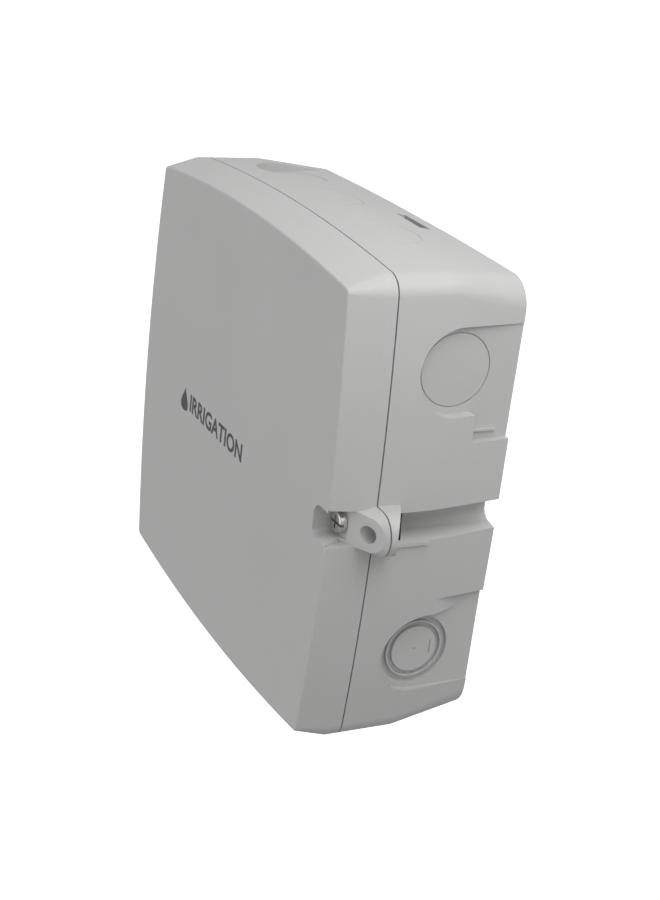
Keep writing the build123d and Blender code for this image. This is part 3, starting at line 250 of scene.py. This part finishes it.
def skin(node, name, body, finish, rounding, sharp_angle=24.0):
    """A CAD node's visible skin: its mesh welded, with every sharp edge rounded."""
    bm = bmesh.new()
    bm.from_mesh(nodes[node].data)
    bmesh.ops.remove_doubles(bm, verts=bm.verts, dist=weld_gap)
    if rounding:
        bmesh.ops.dissolve_limit(bm, angle_limit=flat_angle, verts=bm.verts, edges=bm.edges)
    rim = bm.faces.layers.float.new("rim")
    if rounding:
        sharp = [e for e in bm.edges if e.is_manifold and e.calc_face_angle() > radians(sharp_angle)]
        rounded = bmesh.ops.bevel(bm, geom=sharp, offset=rounding, offset_type="OFFSET", segments=2,
                                  profile=0.5, affect="EDGES", clamp_overlap=True, material=-1)
        for face in rounded["faces"]:
            face[rim] = 1.0
    for face in bm.faces:
        face.smooth = True
    for edge in bm.edges:
        edge.smooth = not (edge.is_manifold and edge.calc_face_angle() > shade_angle)
    made = bpy.data.objects.new(name, bpy.data.meshes.new(name))
    bm.to_mesh(made.data)
    bm.free()
    scene.collection.objects.link(made)
    weights = made.modifiers.new("even_shading", "WEIGHTED_NORMAL")
    weights.keep_sharp = True
    made.data.materials.append(finish.material)
    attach(made, body)
    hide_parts(node)
    return made


# ---- Door ----
# One polycarbonate moulding that swings on two pins at its left edge. A water drop and a plain
# word are printed on its flat front, and its screw pocket and padlock ear are on the right.
skin("front_door", "door_shell", "door", case_finish, 0.0003)


class Print:
    """Flat ink on one plane that faces the front: text, bars, discs and outlines."""

    def __init__(self, depth):
        self.depth = depth
        self.bm = bmesh.new()

    def shape(self, points):
        self.bm.faces.new([self.bm.verts.new((x, -self.depth, z)) for x, z in points])

    def facing(self, x, z, turn=0.0):
        """Places a flat shape drawn in X and Y on this plane."""
        return (Matrix.Translation((x, -self.depth, z)) @ Matrix.Rotation(-turn, 4, "Y")
                @ Matrix.Rotation(pi / 2, 4, "X"))

    def bar(self, x, z, wide, high, turn=0.0):
        place = self.facing(x, z, turn) @ Matrix.Diagonal((wide / 2, high / 2, 1, 1))
        bmesh.ops.create_grid(self.bm, x_segments=1, y_segments=1, size=1.0, matrix=place)

    def disc(self, x, z, radius, sides=24):
        place = self.facing(x, z)
        bmesh.ops.create_circle(self.bm, cap_ends=True, segments=sides, radius=radius, matrix=place)

    def frame(self, x, z, wide, high, line):
        for side in (-1, 1):
            self.bar(x, z + side * (high - line) / 2, wide, line)
            self.bar(x + side * (wide - line) / 2, z, line, high - 2 * line)

    def text(self, words, x, z, size, align="CENTER", heavy=0.0):
        curve = bpy.data.curves.new("words", "FONT")
        curve.body = words
        curve.size = size
        curve.align_x = align
        curve.align_y = "CENTER"
        curve.resolution_u = 3
        curve.offset = heavy
        holder = bpy.data.objects.new("words", curve)
        scene.collection.objects.link(holder)
        bpy.context.view_layer.update()
        shown = holder.evaluated_get(bpy.context.evaluated_depsgraph_get())
        flat = bpy.data.meshes.new_from_object(shown)
        flat.transform(self.facing(x, z))
        self.bm.from_mesh(flat)
        bpy.data.meshes.remove(flat)
        bpy.data.objects.remove(holder)
        bpy.data.curves.remove(curve)

    def place(self, name, body, slot, finish):
        made = bpy.data.objects.new(name, bpy.data.meshes.new(name))
        bmesh.ops.recalc_face_normals(self.bm, faces=self.bm.faces)
        for face in self.bm.faces:
            if face.normal.y > 0:
                face.normal_flip()
        self.bm.to_mesh(made.data)
        self.bm.free()
        scene.collection.objects.link(made)
        made.data.materials.append(finish.material)
        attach(made, body)
        return made


def ink(name, color, roughness=0.5):
    """Screen-printed ink: slightly uneven cover and gloss."""
    finish = Finish(name, color, roughness)
    patches = finish.noise(900.0, detail=3.0)
    thin = tuple(min(1.0, c * 1.25 + 0.015) for c in color)
    finish.set("Base Color", finish.mix(patches, color, thin))
    finish.set("Roughness", roughness + (patches - 0.5) * 0.2)
    finish.bump(patches, 0.00001)
    return finish


dark_ink = ink("dark_grey_ink", (0.045, 0.05, 0.055), 0.45)

face_depth = 0.08853
mark_height = -0.0042
drop_points = 28
drop_wide = 0.0038 / 1.3
drop_high = 0.0048
drop = []
for index in range(drop_points):
    turn = 2 * pi * index / drop_points
    drop.append((drop_wide * sin(turn) * (1 - cos(turn)), drop_high * cos(turn)))
mark = Print(face_depth)
mark.shape([(-0.0565 + 1.3 * x, mark_height + 1.35 * z) for x, z in drop])
mark.text("IRRIGATION", -0.0495, mark_height, 0.0128, align="LEFT", heavy=0.00035)
mark.place("door_print", "door", "door_plastic", dark_ink)

# ---- Back case ----
# A deep tray in the same polycarbonate as the door, screwed to the wall through its back. Conduit
# knock-outs are moulded thin into its sides, and its padlock ear meets the one on the door.
skin("back_case", "case_shell", "case", case_finish, 0.0003)

# ---- Metal parts ----
# The door screw, its retainer, the hinge pins, the fixing screws and the terminals. They are plated
# steel with fine turning and rolling marks, and the threaded insert and the earth lug are brass.
stain = 0.12


def metal(name, color, roughness, stretch=(1, 1, 12)):
    """Plated or bare metal: drawn streaks and dulled patches."""
    finish = Finish(name, color, roughness, Metallic=1.0)
    streaks = finish.noise(420.0, detail=3.0, at=finish.place(scale=stretch))
    patches = finish.noise(120.0, detail=4.0)
    dull = tuple(c * 0.72 for c in color)
    finish.set("Base Color", finish.mix(patches.over(0.45, 0.3) * stain * 3, color, dull))
    finish.set("Roughness", roughness + (streaks - 0.5) * 0.22 + patches * stain)
    finish.bump(streaks * 0.7 + patches * 0.3, 0.00003)
    return finish


nickel = metal("nickel_plated_steel", (0.62, 0.61, 0.58), 0.28)
zinc = metal("zinc_plated_strip", (0.58, 0.59, 0.60), 0.36, stretch=(1, 14, 1))
brass = metal("brass", (0.74, 0.52, 0.22), 0.30)
green_zinc = metal("green_passivated_steel", (0.06, 0.36, 0.13), 0.38)
skin("door_screw", "door_screw_bright", "door_screw", nickel, 0.00015)
skin("screw_insert", "threaded_insert", "case", brass, 0.0001)
skin("screw_retainer", "retainer_ring", "screw_ring", zinc, 0.0001)
skin("hinge_pins", "hinge_pin_pair", "case", nickel, 0.00015)
for node in ("panel_screws", "board_screws", "terminal_board_screws", "transformer_screws",
             "line_cover_screws"):
    skin(node, node + "_bright", "case", nickel, 0.0001)
skin("terminal_screws", "terminal_screws_bright", "case", zinc, 0.0001)
skin("terminal_clamps", "terminal_cages", "case", zinc, 0.00008)
skin("ground_lug", "earth_lug", "case", brass, 0.0001)
skin("ground_screw", "earth_screw", "case", green_zinc, 0.0001)

# ---- Gasket ----
# A closed-cell foam strip, matt black with fine cells, glued round the inside of the door so that
# it presses on the rim of the case.
foam = Finish("epdm_foam", (0.025, 0.025, 0.026), 0.9)
cells = foam.node("ShaderNodeTexVoronoi", {}, {"Vector": foam.place(), "Scale": 1400.0})
foam.set("Base Color", foam.mix(cells, (0.016, 0.016, 0.017), (0.05, 0.05, 0.052)))
foam.set("Roughness", 0.82 + cells * 0.15)
foam.bump(cells, 0.00012)
skin("door_gasket", "foam_gasket", "door", foam, 0.0003)

# ---- Schedule card ----
# A laminated card glued inside the door, printed with a ruled table in which the watering times
# are written.
card_paper = ink("laminated_card", (0.74, 0.74, 0.70), 0.32)
skin("schedule_card", "schedule_card_sheet", "door", card_paper, None)


card_middle = -0.010


class InsidePrint(Print):
    """Ink on a plane that faces the wall, read with the door open."""

    def place(self, name, body, slot, finish):
        mirror = Matrix.Scale(-1, 4, (1, 0, 0))
        mirror = Matrix.Translation((card_middle, 0, 0)) @ mirror @ Matrix.Translation((-card_middle, 0, 0))
        bmesh.ops.transform(self.bm, matrix=mirror, verts=self.bm.verts)
        made = super().place(name, body, slot, finish)
        made.data.flip_normals()
        return made


card_depth = 0.08543
heading_depth = 0.08538
table_wide = 0.142
heading_height = 0.0505
row_pitch = 0.0098
columns = (-0.081, -0.059, -0.037, -0.015, 0.007, 0.029, 0.061)
card = InsidePrint(card_depth)
card.bar(card_middle, heading_height, table_wide, 0.011)
for x in columns:
    card.bar(x, -0.010, 0.0005, 0.108)
for row in range(11):
    card.bar(card_middle, 0.044 - row_pitch * row, table_wide, 0.0004)
for column, words in zip(columns, ("STATION", "START", "MINUTES", "DAYS", "ADJUST")):
    card.text(words, column + 0.0112, 0.0391, 0.0034)
card.text("PLANTS", columns[5] + 0.0162, 0.0391, 0.0034)
for row in range(9):
    card.text(str(row + 1), columns[0] + 0.011, 0.0293 - row_pitch * row, 0.0052)
card.place("schedule_print", "door", "paper", dark_ink)
white_ink = ink("white_ink", (0.80, 0.80, 0.78))
heading = InsidePrint(heading_depth)
heading.text("WATERING SCHEDULE", card_middle, heading_height, 0.0066)
heading.place("schedule_heading", "door", "paper", white_ink)

# ---- Control panel ----
# A dark grey textured moulding, held to the case by four screws. It carries the display, the keys,
# the dial and the battery bay, whose cover slides down and off.
panel_plastic = moulded("panel_abs", (0.055, 0.058, 0.062), 0.5, 0.00006)
skin("control_panel", "panel_shell", "case", panel_plastic, 0.0003)
skin("battery_cover", "battery_cover_shell", "battery_cover", panel_plastic, 0.0003)
cover_depth = 0.06273
cover_x = 0.045
cover_print = Print(cover_depth)
cover_print.frame(cover_x, -0.0015, 0.0115, 0.0062, 0.0004)
cover_print.bar(cover_x + 0.0064, -0.0015, 0.0010, 0.0026)
cover_print.text("9 V", cover_x, -0.0016, 0.0042)
cover_print.place("battery_cover_print", "battery_cover", "panel_plastic", white_ink)

# ---- Panel label ----
# A polycarbonate sheet, screen-printed and glued to the panel: light ground, dark legends and a
# green band over the display. The dial's ring has a mark at each of its eight positions.
sheet = moulded("label_sheet", (0.50, 0.51, 0.50), 0.38, 0.00002, rim_sheen=False)
skin("panel_label", "panel_label_sheet", "case", sheet, None)
label_depth = 0.05684
legend = Print(label_depth)
legend.frame(-0.001, 0.036, 0.180, 0.114, 0.0006)
legend.frame(-0.045, 0.066, 0.0675, 0.0335, 0.0007)
dial_x, dial_z = 0.044, 0.050
mark_ring = 0.0312
dot_ring = 0.0306
positions = ("AUTO", "TIME", "DATE", "START", "RUN", "DAYS", "ADJUST", "OFF")
for index, words in enumerate(positions):
    turn = pi / 2 - index * pi / 4
    legend.bar(dial_x + mark_ring * cos(turn), dial_z + mark_ring * sin(turn), 0.0024, 0.0008, turn)
    reach = 0.0364 + 0.0024 * abs(cos(turn))
    legend.text(words, dial_x + reach * cos(turn), dial_z + reach * sin(turn), 0.0040)
for index in range(64):
    turn = index * pi / 32
    if index % 8:
        legend.bar(dial_x + dot_ring * cos(turn), dial_z + dot_ring * sin(turn), 0.0010, 0.00035, turn)
small_text = 0.0031
key_columns = (-0.072, -0.045, -0.018)
for words, x in zip(("MANUAL", "PROGRAM", "CANCEL"), key_columns):
    legend.text(words, x, 0.0087, small_text)
for words, x in zip(("DOWN", "UP", "NEXT"), key_columns):
    legend.text(words, x, 0.0287, small_text)
for words, x in (("PROGRAM", -0.058), ("RAIN SENSOR", -0.014)):
    legend.text(words, x, -0.0162, small_text)
for words, x in (("A", -0.063), ("B", -0.058), ("C", -0.053), ("ON", -0.019), ("OFF", -0.009)):
    legend.text(words, x, -0.0030, small_text)
legend.place("panel_legends", "case", "panel_print", dark_ink)
green_ink = ink("green_ink", (0.04, 0.30, 0.14))
band = Print(label_depth - 0.00002)
band.bar(-0.001, 0.0890, 0.178, 0.0072)
band.place("panel_band", "case", "panel_print", green_ink)
title = Print(label_depth + 0.00003)
title.text("IRRIGATION CONTROL", -0.087, 0.0889, 0.0048, align="LEFT")
title.place("panel_title", "case", "panel_print", white_ink)

# ---- Display ----
# A black bezel set into the panel holds a grey-green liquid crystal glass with dark segments,
# and a clear polycarbonate lens in front of it.
black_plastic = moulded("black_abs", (0.018, 0.018, 0.019), 0.45)
skin("display_frame", "display_bezel", "case", black_plastic, 0.0002)
crystal = Finish("liquid_crystal", (0.30, 0.35, 0.24), 0.18, Coat_Weight=0.4)
haze = crystal.noise(40.0, detail=3.0)
crystal.set("Base Color", crystal.mix(haze, (0.27, 0.32, 0.215), (0.33, 0.38, 0.265)))
crystal.set("Roughness", 0.12 + haze * 0.12)
crystal.bump(crystal.noise(1800.0), 0.000004)
skin("display_glass", "display_cell", "case", crystal, None)
segments = {"4": "fgbc", "5": "afgcd", "6": "afgecd"}
places = {"a": (0, 1, True), "g": (0, 0, True), "d": (0, -1, True), "f": (-1, 0.5, False),
          "b": (1, 0.5, False), "e": (-1, -0.5, False), "c": (1, -0.5, False)}
glass_depth = 0.05274
digit_size = 0.0120
digits = Print(glass_depth)


def seven_segment(figure, x, z, size):
    """One digit of straight bars; size is its height between the end bars."""
    for key in segments[figure]:
        across, up, lying = places[key]
        long = size * 0.42
        thick = size * 0.11
        wide, high = (long, thick) if lying else (thick, long)
        digits.bar(x + across * size * 0.26, z + up * size * 0.48, wide, high)


for figure, x in (("6", -0.0640), ("4", -0.0490), ("5", -0.0400)):
    seven_segment(figure, x, 0.0645, digit_size)
for z in (0.0620, 0.0672):
    digits.disc(-0.0565, z, 0.0008, 12)
digits.text("AM", -0.0305, 0.0600, 0.0036)
digits.text("MO TU WE TH FR SA SU", -0.0450, 0.0752, 0.0033)
digits.frame(-0.0245, 0.0668, 0.0070, 0.0040, 0.0004)
digits.bar(-0.0262, 0.0668, 0.0022, 0.0026)
digits.place("display_digits", "case", "display_glass", dark_ink)
clear = Finish("clear_polycarbonate", (0.80, 0.84, 0.84), 0.06, Alpha=0.12)
smear = clear.noise(55.0, detail=4.0)
clear.set("Roughness", 0.04 + smear * 0.10)
clear.set("Base Color", clear.mix(smear, (0.78, 0.82, 0.82), (0.86, 0.89, 0.89)))
clear.bump(clear.noise(1500.0), 0.000003)
skin("display_lens", "display_window", "case", clear, 0.0002)

# ---- Keys ----
# Six soft green elastomer caps with white printed symbols. Each is pressed down on a small black
# switch on the board behind it, and springs back.
key_rubber = moulded("key_elastomer", (0.035, 0.16, 0.08), 0.62, 0.00004)
key_depth = 0.05893
stroke = 0.0009
upper_keys = [(key, x, 0.036) for key, x in zip(("minus", "plus", "next"), key_columns)]
lower_keys = [(key, x, 0.016) for key, x in zip(("manual", "program", "cancel"), key_columns)]
for key, x, z in upper_keys + lower_keys:
    body = "key_" + key
    skin(body, body + "_cap", body, key_rubber, 0.0001)
    symbol = Print(key_depth)
    if key in ("minus", "plus"):
        symbol.bar(x, z, 0.0042, stroke)
    if key == "plus":
        symbol.bar(x, z + 0.00132, stroke, 0.0017)
        symbol.bar(x, z - 0.00132, stroke, 0.0017)
    if key == "next":
        symbol.shape([(x - 0.0017, z - 0.0021), (x + 0.0021, z), (x - 0.0017, z + 0.0021)])
    if key == "manual":
        symbol.shape([(x + px * 0.45, z + pz * 0.5) for px, pz in drop])
    if key == "program":
        for row in (-1, 0, 1):
            symbol.bar(x, z + 0.0013 * row, 0.0044, 0.0006)
    if key == "cancel":
        symbol.bar(x, z, 0.0046, stroke, pi / 4)
        symbol.bar(x + 0.0010, z - 0.0010, 0.0018, stroke, -pi / 4)
        symbol.bar(x - 0.0010, z + 0.0010, 0.0018, stroke, -pi / 4)
    symbol.place(body + "_symbol", body, "key_rubber", white_ink)
skin("key_switches", "key_switch_bodies", "case", black_plastic, 0.0001)

# ---- Program dial ----
# A glossy black knob, pushed on a plated shaft, with a white pointer line in its grip. The rotary
# switch that it turns is held behind the panel by a nut.
knob_plastic = moulded("dial_black", (0.014, 0.015, 0.016), 0.22, 0.00001)
skin("program_dial", "program_knob", "dial", knob_plastic, 0.00015)
skin("dial_shaft", "knob_shaft", "dial", nickel, 0.0001)
grip_depth = 0.07393
pointer = Print(grip_depth)
pointer.bar(dial_x, dial_z + 0.0174, 0.00105, 0.0096)
pointer.place("dial_pointer", "dial", "dial_plastic", white_ink)
skin("rotary_switch", "rotary_switch_body", "case", black_plastic, 0.0002)
skin("rotary_nut", "rotary_switch_nut", "case", nickel, 0.0001)

# ---- Slide switches ----
# Two moulded red knobs that slide sideways in slots in the panel, over black switch bodies on the
# board.
slider_red = moulded("slider_red", (0.52, 0.055, 0.035), 0.35)
skin("program_slider", "program_slider_knob", "program_slider", slider_red, 0.0001)
skin("mode_slider", "mode_slider_knob", "mode_slider", slider_red, 0.0001)
skin("slide_switches", "slide_switch_bodies", "case", black_plastic, 0.0001)

# ---- Battery ----
# A nine-volt block in a printed metal jacket, black with a copper end. It lies in its bay, and the
# snap cap is pushed on its terminals.
jacket = Finish("battery_jacket", (0.02, 0.02, 0.022), 0.3, Metallic=0.5)
along = jacket.axis(0)
wrap = jacket.noise(300.0, detail=2.0, at=jacket.place(scale=(1, 6, 6)))
copper_start = 0.0530
copper_end = along.over(copper_start, 0.0002)
jacket.set("Base Color", jacket.mix(copper_end, (0.022, 0.022, 0.024), (0.60, 0.28, 0.10)))
jacket.set("Roughness", 0.24 + wrap * 0.16)
jacket.bump(wrap, 0.00001)
skin("battery", "battery_cell", "case", jacket, 0.0002)
skin("battery_snap", "battery_snap_cap", "case", black_plastic, 0.0003)

# ---- Circuit boards ----
# Two glass-epoxy boards under green solder mask, with copper tracks showing through it. The upper
# one holds the logic, the lower one the outputs, and small parts are soldered to both.
def solder_mask(name, x_pitch, z_pitch):
    """Green mask over woven glass, with straight tracks in patches."""
    finish = Finish(name, (0.012, 0.10, 0.045), 0.28, Coat_Weight=0.3)
    x = finish.axis(0)
    z = finish.axis(2)
    block = finish.noise(55.0, detail=0.0).over(0.5, 0.02)
    lines_x = (x * (1 / x_pitch)).one("FRACT").over(0.62, 0.08)
    lines_z = (z * (1 / z_pitch)).one("FRACT").over(0.62, 0.08)
    tracks = lines_x * block + lines_z * (1 - block)
    weave = finish.noise(1500.0, detail=1.0)
    bare = finish.mix(weave, (0.010, 0.085, 0.038), (0.016, 0.115, 0.052))
    finish.set("Base Color", finish.mix(tracks * 0.8, bare, (0.03, 0.20, 0.085)))
    finish.set("Roughness", 0.24 + weave * 0.14 - tracks * 0.05)
    finish.bump(tracks * 0.8 + weave * 0.2, 0.00004)
    return finish


board_finish = solder_mask("solder_mask_green", 0.0018, 0.0021)
skin("circuit_board", "logic_board", "case", board_finish, 0.0001)
skin("terminal_board", "output_board", "case", board_finish, 0.0001)
epoxy = moulded("moulded_epoxy", (0.014, 0.014, 0.015), 0.55, rim_sheen=False)
skin("controller_chips", "chip_packages", "case", epoxy, 0.0002)
skin("board_header", "upper_header", "case", black_plastic, 0.0002)
skin("strip_header", "lower_header", "case", black_plastic, 0.0002)
tin = metal("tinned_copper", (0.66, 0.66, 0.64), 0.34)


def boxes(name, body, finish, blocks, rounding=0.0):
    """Small blocks as one piece; each is x, depth, z and its three sizes."""
    bm = bmesh.new()
    for x, depth, z, wide, thick, high in blocks:
        matrix = Matrix.Translation((x, -depth, z)) @ Matrix.Diagonal((wide, thick, high, 1))
        bmesh.ops.create_cube(bm, size=1.0, matrix=matrix)
    if rounding:
        bmesh.ops.bevel(bm, geom=list(bm.edges), offset=rounding, segments=2, profile=0.5,
                        affect="EDGES")
    made = bpy.data.objects.new(name, bpy.data.meshes.new(name))
    bm.to_mesh(made.data)
    bm.free()
    scene.collection.objects.link(made)
    made.data.materials.append(finish.material)
    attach(made, body)


board_back = 0.0420
part_depth = board_back - 0.0006
leg_pitch = 0.00254
legs = []
for z, high, count, pitch in ((0.020, 0.014, 9, leg_pitch), (0.045, 0.010, 4, 0.9 * leg_pitch)):
    for index in range(count):
        x = -0.030 + (index - (count - 1) / 2) * pitch
        for side in (-1, 1):
            legs.append((x, part_depth, z + side * (high / 2 + 0.0008), 0.0006, 0.0012, 0.0018))
boxes("chip_legs", "case", tin, legs)
random.seed(11)
parts = []
ends = []
for index in range(26):
    x = random.choice((-0.075, -0.066, -0.057, 0.010, 0.018, 0.026)) + random.uniform(-0.001, 0.001)
    z = 0.016 + 0.0062 * (index % 11)
    parts.append((x, part_depth, z, 0.0022, 0.0011, 0.0024))
    for side in (-1, 1):
        ends.append((x + side * 0.0016, board_back - 0.0005, z, 0.0010, 0.0010, 0.0024))
boxes("surface_parts", "case", epoxy, parts, 0.0001)
boxes("surface_part_ends", "case", tin, ends)
output_front = 0.0136
resistor_height = -0.0725
parts = []
ends = []
for index in range(8):
    x = 0.008 + 0.009 * index
    for place in (x, x + 0.003):
        parts.append((place, output_front + 0.0005, resistor_height, 0.0012, 0.0009, 0.0020))
    for side in (-1, 1):
        end = resistor_height + side * 0.0013
        for place in (x, x + 0.003):
            ends.append((place, output_front + 0.0004, end, 0.0012, 0.0008, 0.0006))
boxes("gate_resistors", "case", epoxy, parts, 0.0001)
boxes("gate_resistor_ends", "case", tin, ends)
surge = []
for index in range(3):
    surge.append((0.060 + 0.0065 * index, output_front + 0.0035, -0.0525, 0.0052, 0.0070, 0.0022))
surge_blue = moulded("surge_disc_lacquer", (0.03, 0.08, 0.30), 0.3)
boxes("surge_discs", "case", surge_blue, surge, 0.0009)
screen = Print(output_front + 0.00004)
names = ("24V", "24V", "SEN", "SEN", "C", "MV", "1", "2", "3", "4", "5", "6")
strip_middle = 0.028
strip_pitch = 0.0082
strip_xs = [strip_middle + (i - 5.5) * strip_pitch for i in range(12)]
for words, x in zip(names, strip_xs):
    screen.text(words, x, -0.0768, 0.0030)
screen.text("FUSE 1 A", 0.050, -0.0450, 0.0030)
screen.frame(0.032, -0.052, 0.0235, 0.0085, 0.0003)
screen.frame(0.0395, -0.066, 0.0740, 0.0070, 0.0003)
screen.place("board_print", "case", "board_green", white_ink)

# ---- Terminals ----
# A green moulded strip with a numbered well for each wire, soldered to the lower board. The small
# packages behind it, epoxy with tinned tabs and legs, switch the valves.
strip_plastic = moulded("terminal_green", (0.02, 0.20, 0.075), 0.4)
skin("terminal_strip", "terminal_block", "case", strip_plastic, 0.0002)
strip_depth = 0.02863
numbers = Print(strip_depth)
for words, x in zip(names, strip_xs):
    numbers.text(words, x, -0.0812, 0.0022)
numbers.place("terminal_numbers", "case", "strip_green", white_ink)
switches = skin("triacs", "switch_packages", "case", epoxy, 0.0001)
switches.data.materials.append(tin.material)
for face in switches.data.polygons:
    height = -face.center.y - output_front
    if height < 0.0032 or height > 0.0122:
        face.material_index = 1

# ---- Capacitors and fuse ----
# Aluminium cans in blue heat-shrunk sleeves, bare at the top, soldered to the board. A glass fuse
# with nickel-plated caps is pressed into two brass clips.
sleeve = Finish("capacitor_sleeve", (0.02, 0.035, 0.14), 0.3)
folds = sleeve.noise(500.0, detail=2.0, at=sleeve.place(scale=(1, 0.2, 1)))
sleeve.set("Base Color", sleeve.mix(folds, (0.018, 0.03, 0.12), (0.03, 0.05, 0.19)))
sleeve.set("Roughness", 0.22 + folds * 0.2)
sleeve.bump(folds, 0.00003)
cans = skin("capacitors", "capacitor_cans", "case", sleeve, 0.0001)
cans.data.materials.append(tin.material)
for face in cans.data.polygons:
    if face.normal.y > 0.95:
        face.material_index = 1
fuse_glass = Finish("fuse_glass", (0.82, 0.86, 0.86), 0.05, Alpha=0.25)
swirl = fuse_glass.noise(400.0)
fuse_glass.set("Roughness", 0.03 + swirl * 0.08)
fuse_glass.set("Base Color", fuse_glass.mix(swirl, (0.80, 0.84, 0.84), (0.88, 0.91, 0.91)))
fuse_glass.bump(swirl, 0.000004)
skin("fuse_tube", "fuse_glass_tube", "case", fuse_glass, None)
skin("fuse_caps", "fuse_end_caps", "case", nickel, 0.0001)
skin("fuse_clips", "fuse_spring_clips", "case", brass, None)

# ---- Transformer ----
# Varnished steel laminations, stacked through a natural nylon bobbin whose coil is wound and then
# taped in amber. A zinc-plated strap holds the stack and is screwed to the case.
core = Finish("core_laminations", (0.10, 0.095, 0.09), 0.5, Metallic=0.6)
layers_per_metre = 1800.0
edges = (core.axis(2) * layers_per_metre).one("FRACT").over(0.7, 0.2)
rust = core.noise(160.0, detail=4.0).over(0.56, 0.2)
core.set("Base Color", core.mix(rust * 0.5, core.mix(edges, (0.12, 0.115, 0.11), (0.03, 0.03, 0.03)),
                                (0.16, 0.075, 0.035)))
core.set("Roughness", 0.42 + rust * 0.3)
core.bump(1 - edges, 0.00008)
skin("transformer_core", "lamination_stack", "case", core, 0.0001)
nylon = moulded("natural_nylon", (0.62, 0.61, 0.55), 0.45, rim_sheen=False)
skin("transformer_bobbin", "coil_bobbin", "case", nylon, 0.0002)
tape = Finish("coil_tape", (0.62, 0.42, 0.06), 0.25, Coat_Weight=0.2)
laps_per_metre = 120.0
turns = (tape.axis(1) * laps_per_metre + tape.noise(60.0) * 0.12).one("FRACT")
lap = turns.over(0.86, 0.06)
creases = tape.noise(350.0, detail=3.0, at=tape.place(scale=(1, 0.3, 1)))
tape.set("Base Color", tape.mix(lap * 0.6, tape.mix(creases, (0.58, 0.38, 0.05), (0.68, 0.48, 0.09)),
                                (0.40, 0.25, 0.04)))
tape.set("Roughness", 0.2 + creases * 0.2)
tape.bump(turns * 0.4 + creases * 0.6, 0.0001)
skin("transformer_coil", "taped_coil", "case", tape, 0.0003)
skin("transformer_frame", "core_strap", "case", zinc, 0.0002)

# ---- Line-voltage cover ----
# A grey flame-retardant moulding that boxes in the transformer. Slots in its front let the heat
# out, and it is screwed down.
cover_plastic = moulded("line_cover_plastic", (0.16, 0.165, 0.165), 0.5, 0.00005)
skin("line_cover", "line_cover_box", "case", cover_plastic, 0.0003)


# ---- Wires ----
# Thin leads in drawn vinyl from the transformer and the battery, and a flat ribbon cable of sixteen
# cores between the boards, whose first core is marked red.
def insulation(name, color):
    """Drawn vinyl insulation: faint lengthwise lines and a soft sheen."""
    finish = Finish(name, color, 0.35)
    lines = finish.noise(700.0, detail=2.0, at=finish.place(scale=(1, 0.15, 0.15)))
    dark = tuple(c * 0.85 for c in color)
    light = tuple(c * 1.1 for c in color)
    finish.set("Base Color", finish.mix(lines, dark, light))
    finish.set("Roughness", 0.28 + lines * 0.2)
    finish.bump(lines, 0.00004)
    return finish


wire_red = insulation("red_vinyl", (0.50, 0.035, 0.025))
wire_black = insulation("black_vinyl", (0.02, 0.02, 0.02))
skin("transformer_leads", "transformer_lead_pair", "case", wire_red, None)
leads = skin("battery_leads", "battery_lead_pair", "case", wire_red, None)
leads.data.materials.append(wire_black.material)
middle = sum(v.co.x for v in leads.data.vertices) / len(leads.data.vertices)
for face in leads.data.polygons:
    face.material_index = 1 if face.center.x > middle else 0
ribbon = Finish("ribbon_vinyl", (0.42, 0.43, 0.46), 0.4)
ribbon_edge = 0.021
ribbon_wide = 0.022
core_count = 16
core_step = ((ribbon.axis(0) + ribbon_edge) * (core_count / ribbon_wide)).one("FRACT")
ridge = (core_step * pi).one("SINE")
marked = 1 - ribbon.axis(0).over(-0.0196, 0.0001)
scuffs = ribbon.noise(300.0, detail=3.0)
# Painted shade: the grooves between the cores are painted darker and the core crowns lighter; the first
# core is red.
ribbon.set("Base Color", ribbon.mix(marked, ribbon.mix(ridge, (0.30, 0.31, 0.33), (0.46, 0.47, 0.50)),
                                    (0.42, 0.04, 0.03)))
ribbon.set("Roughness", 0.34 + scuffs * 0.2)
ribbon.bump(ridge * 0.9 + scuffs * 0.1, 0.0003)
skin("ribbon_cable", "ribbon_sixteen_core", "case", ribbon, None)
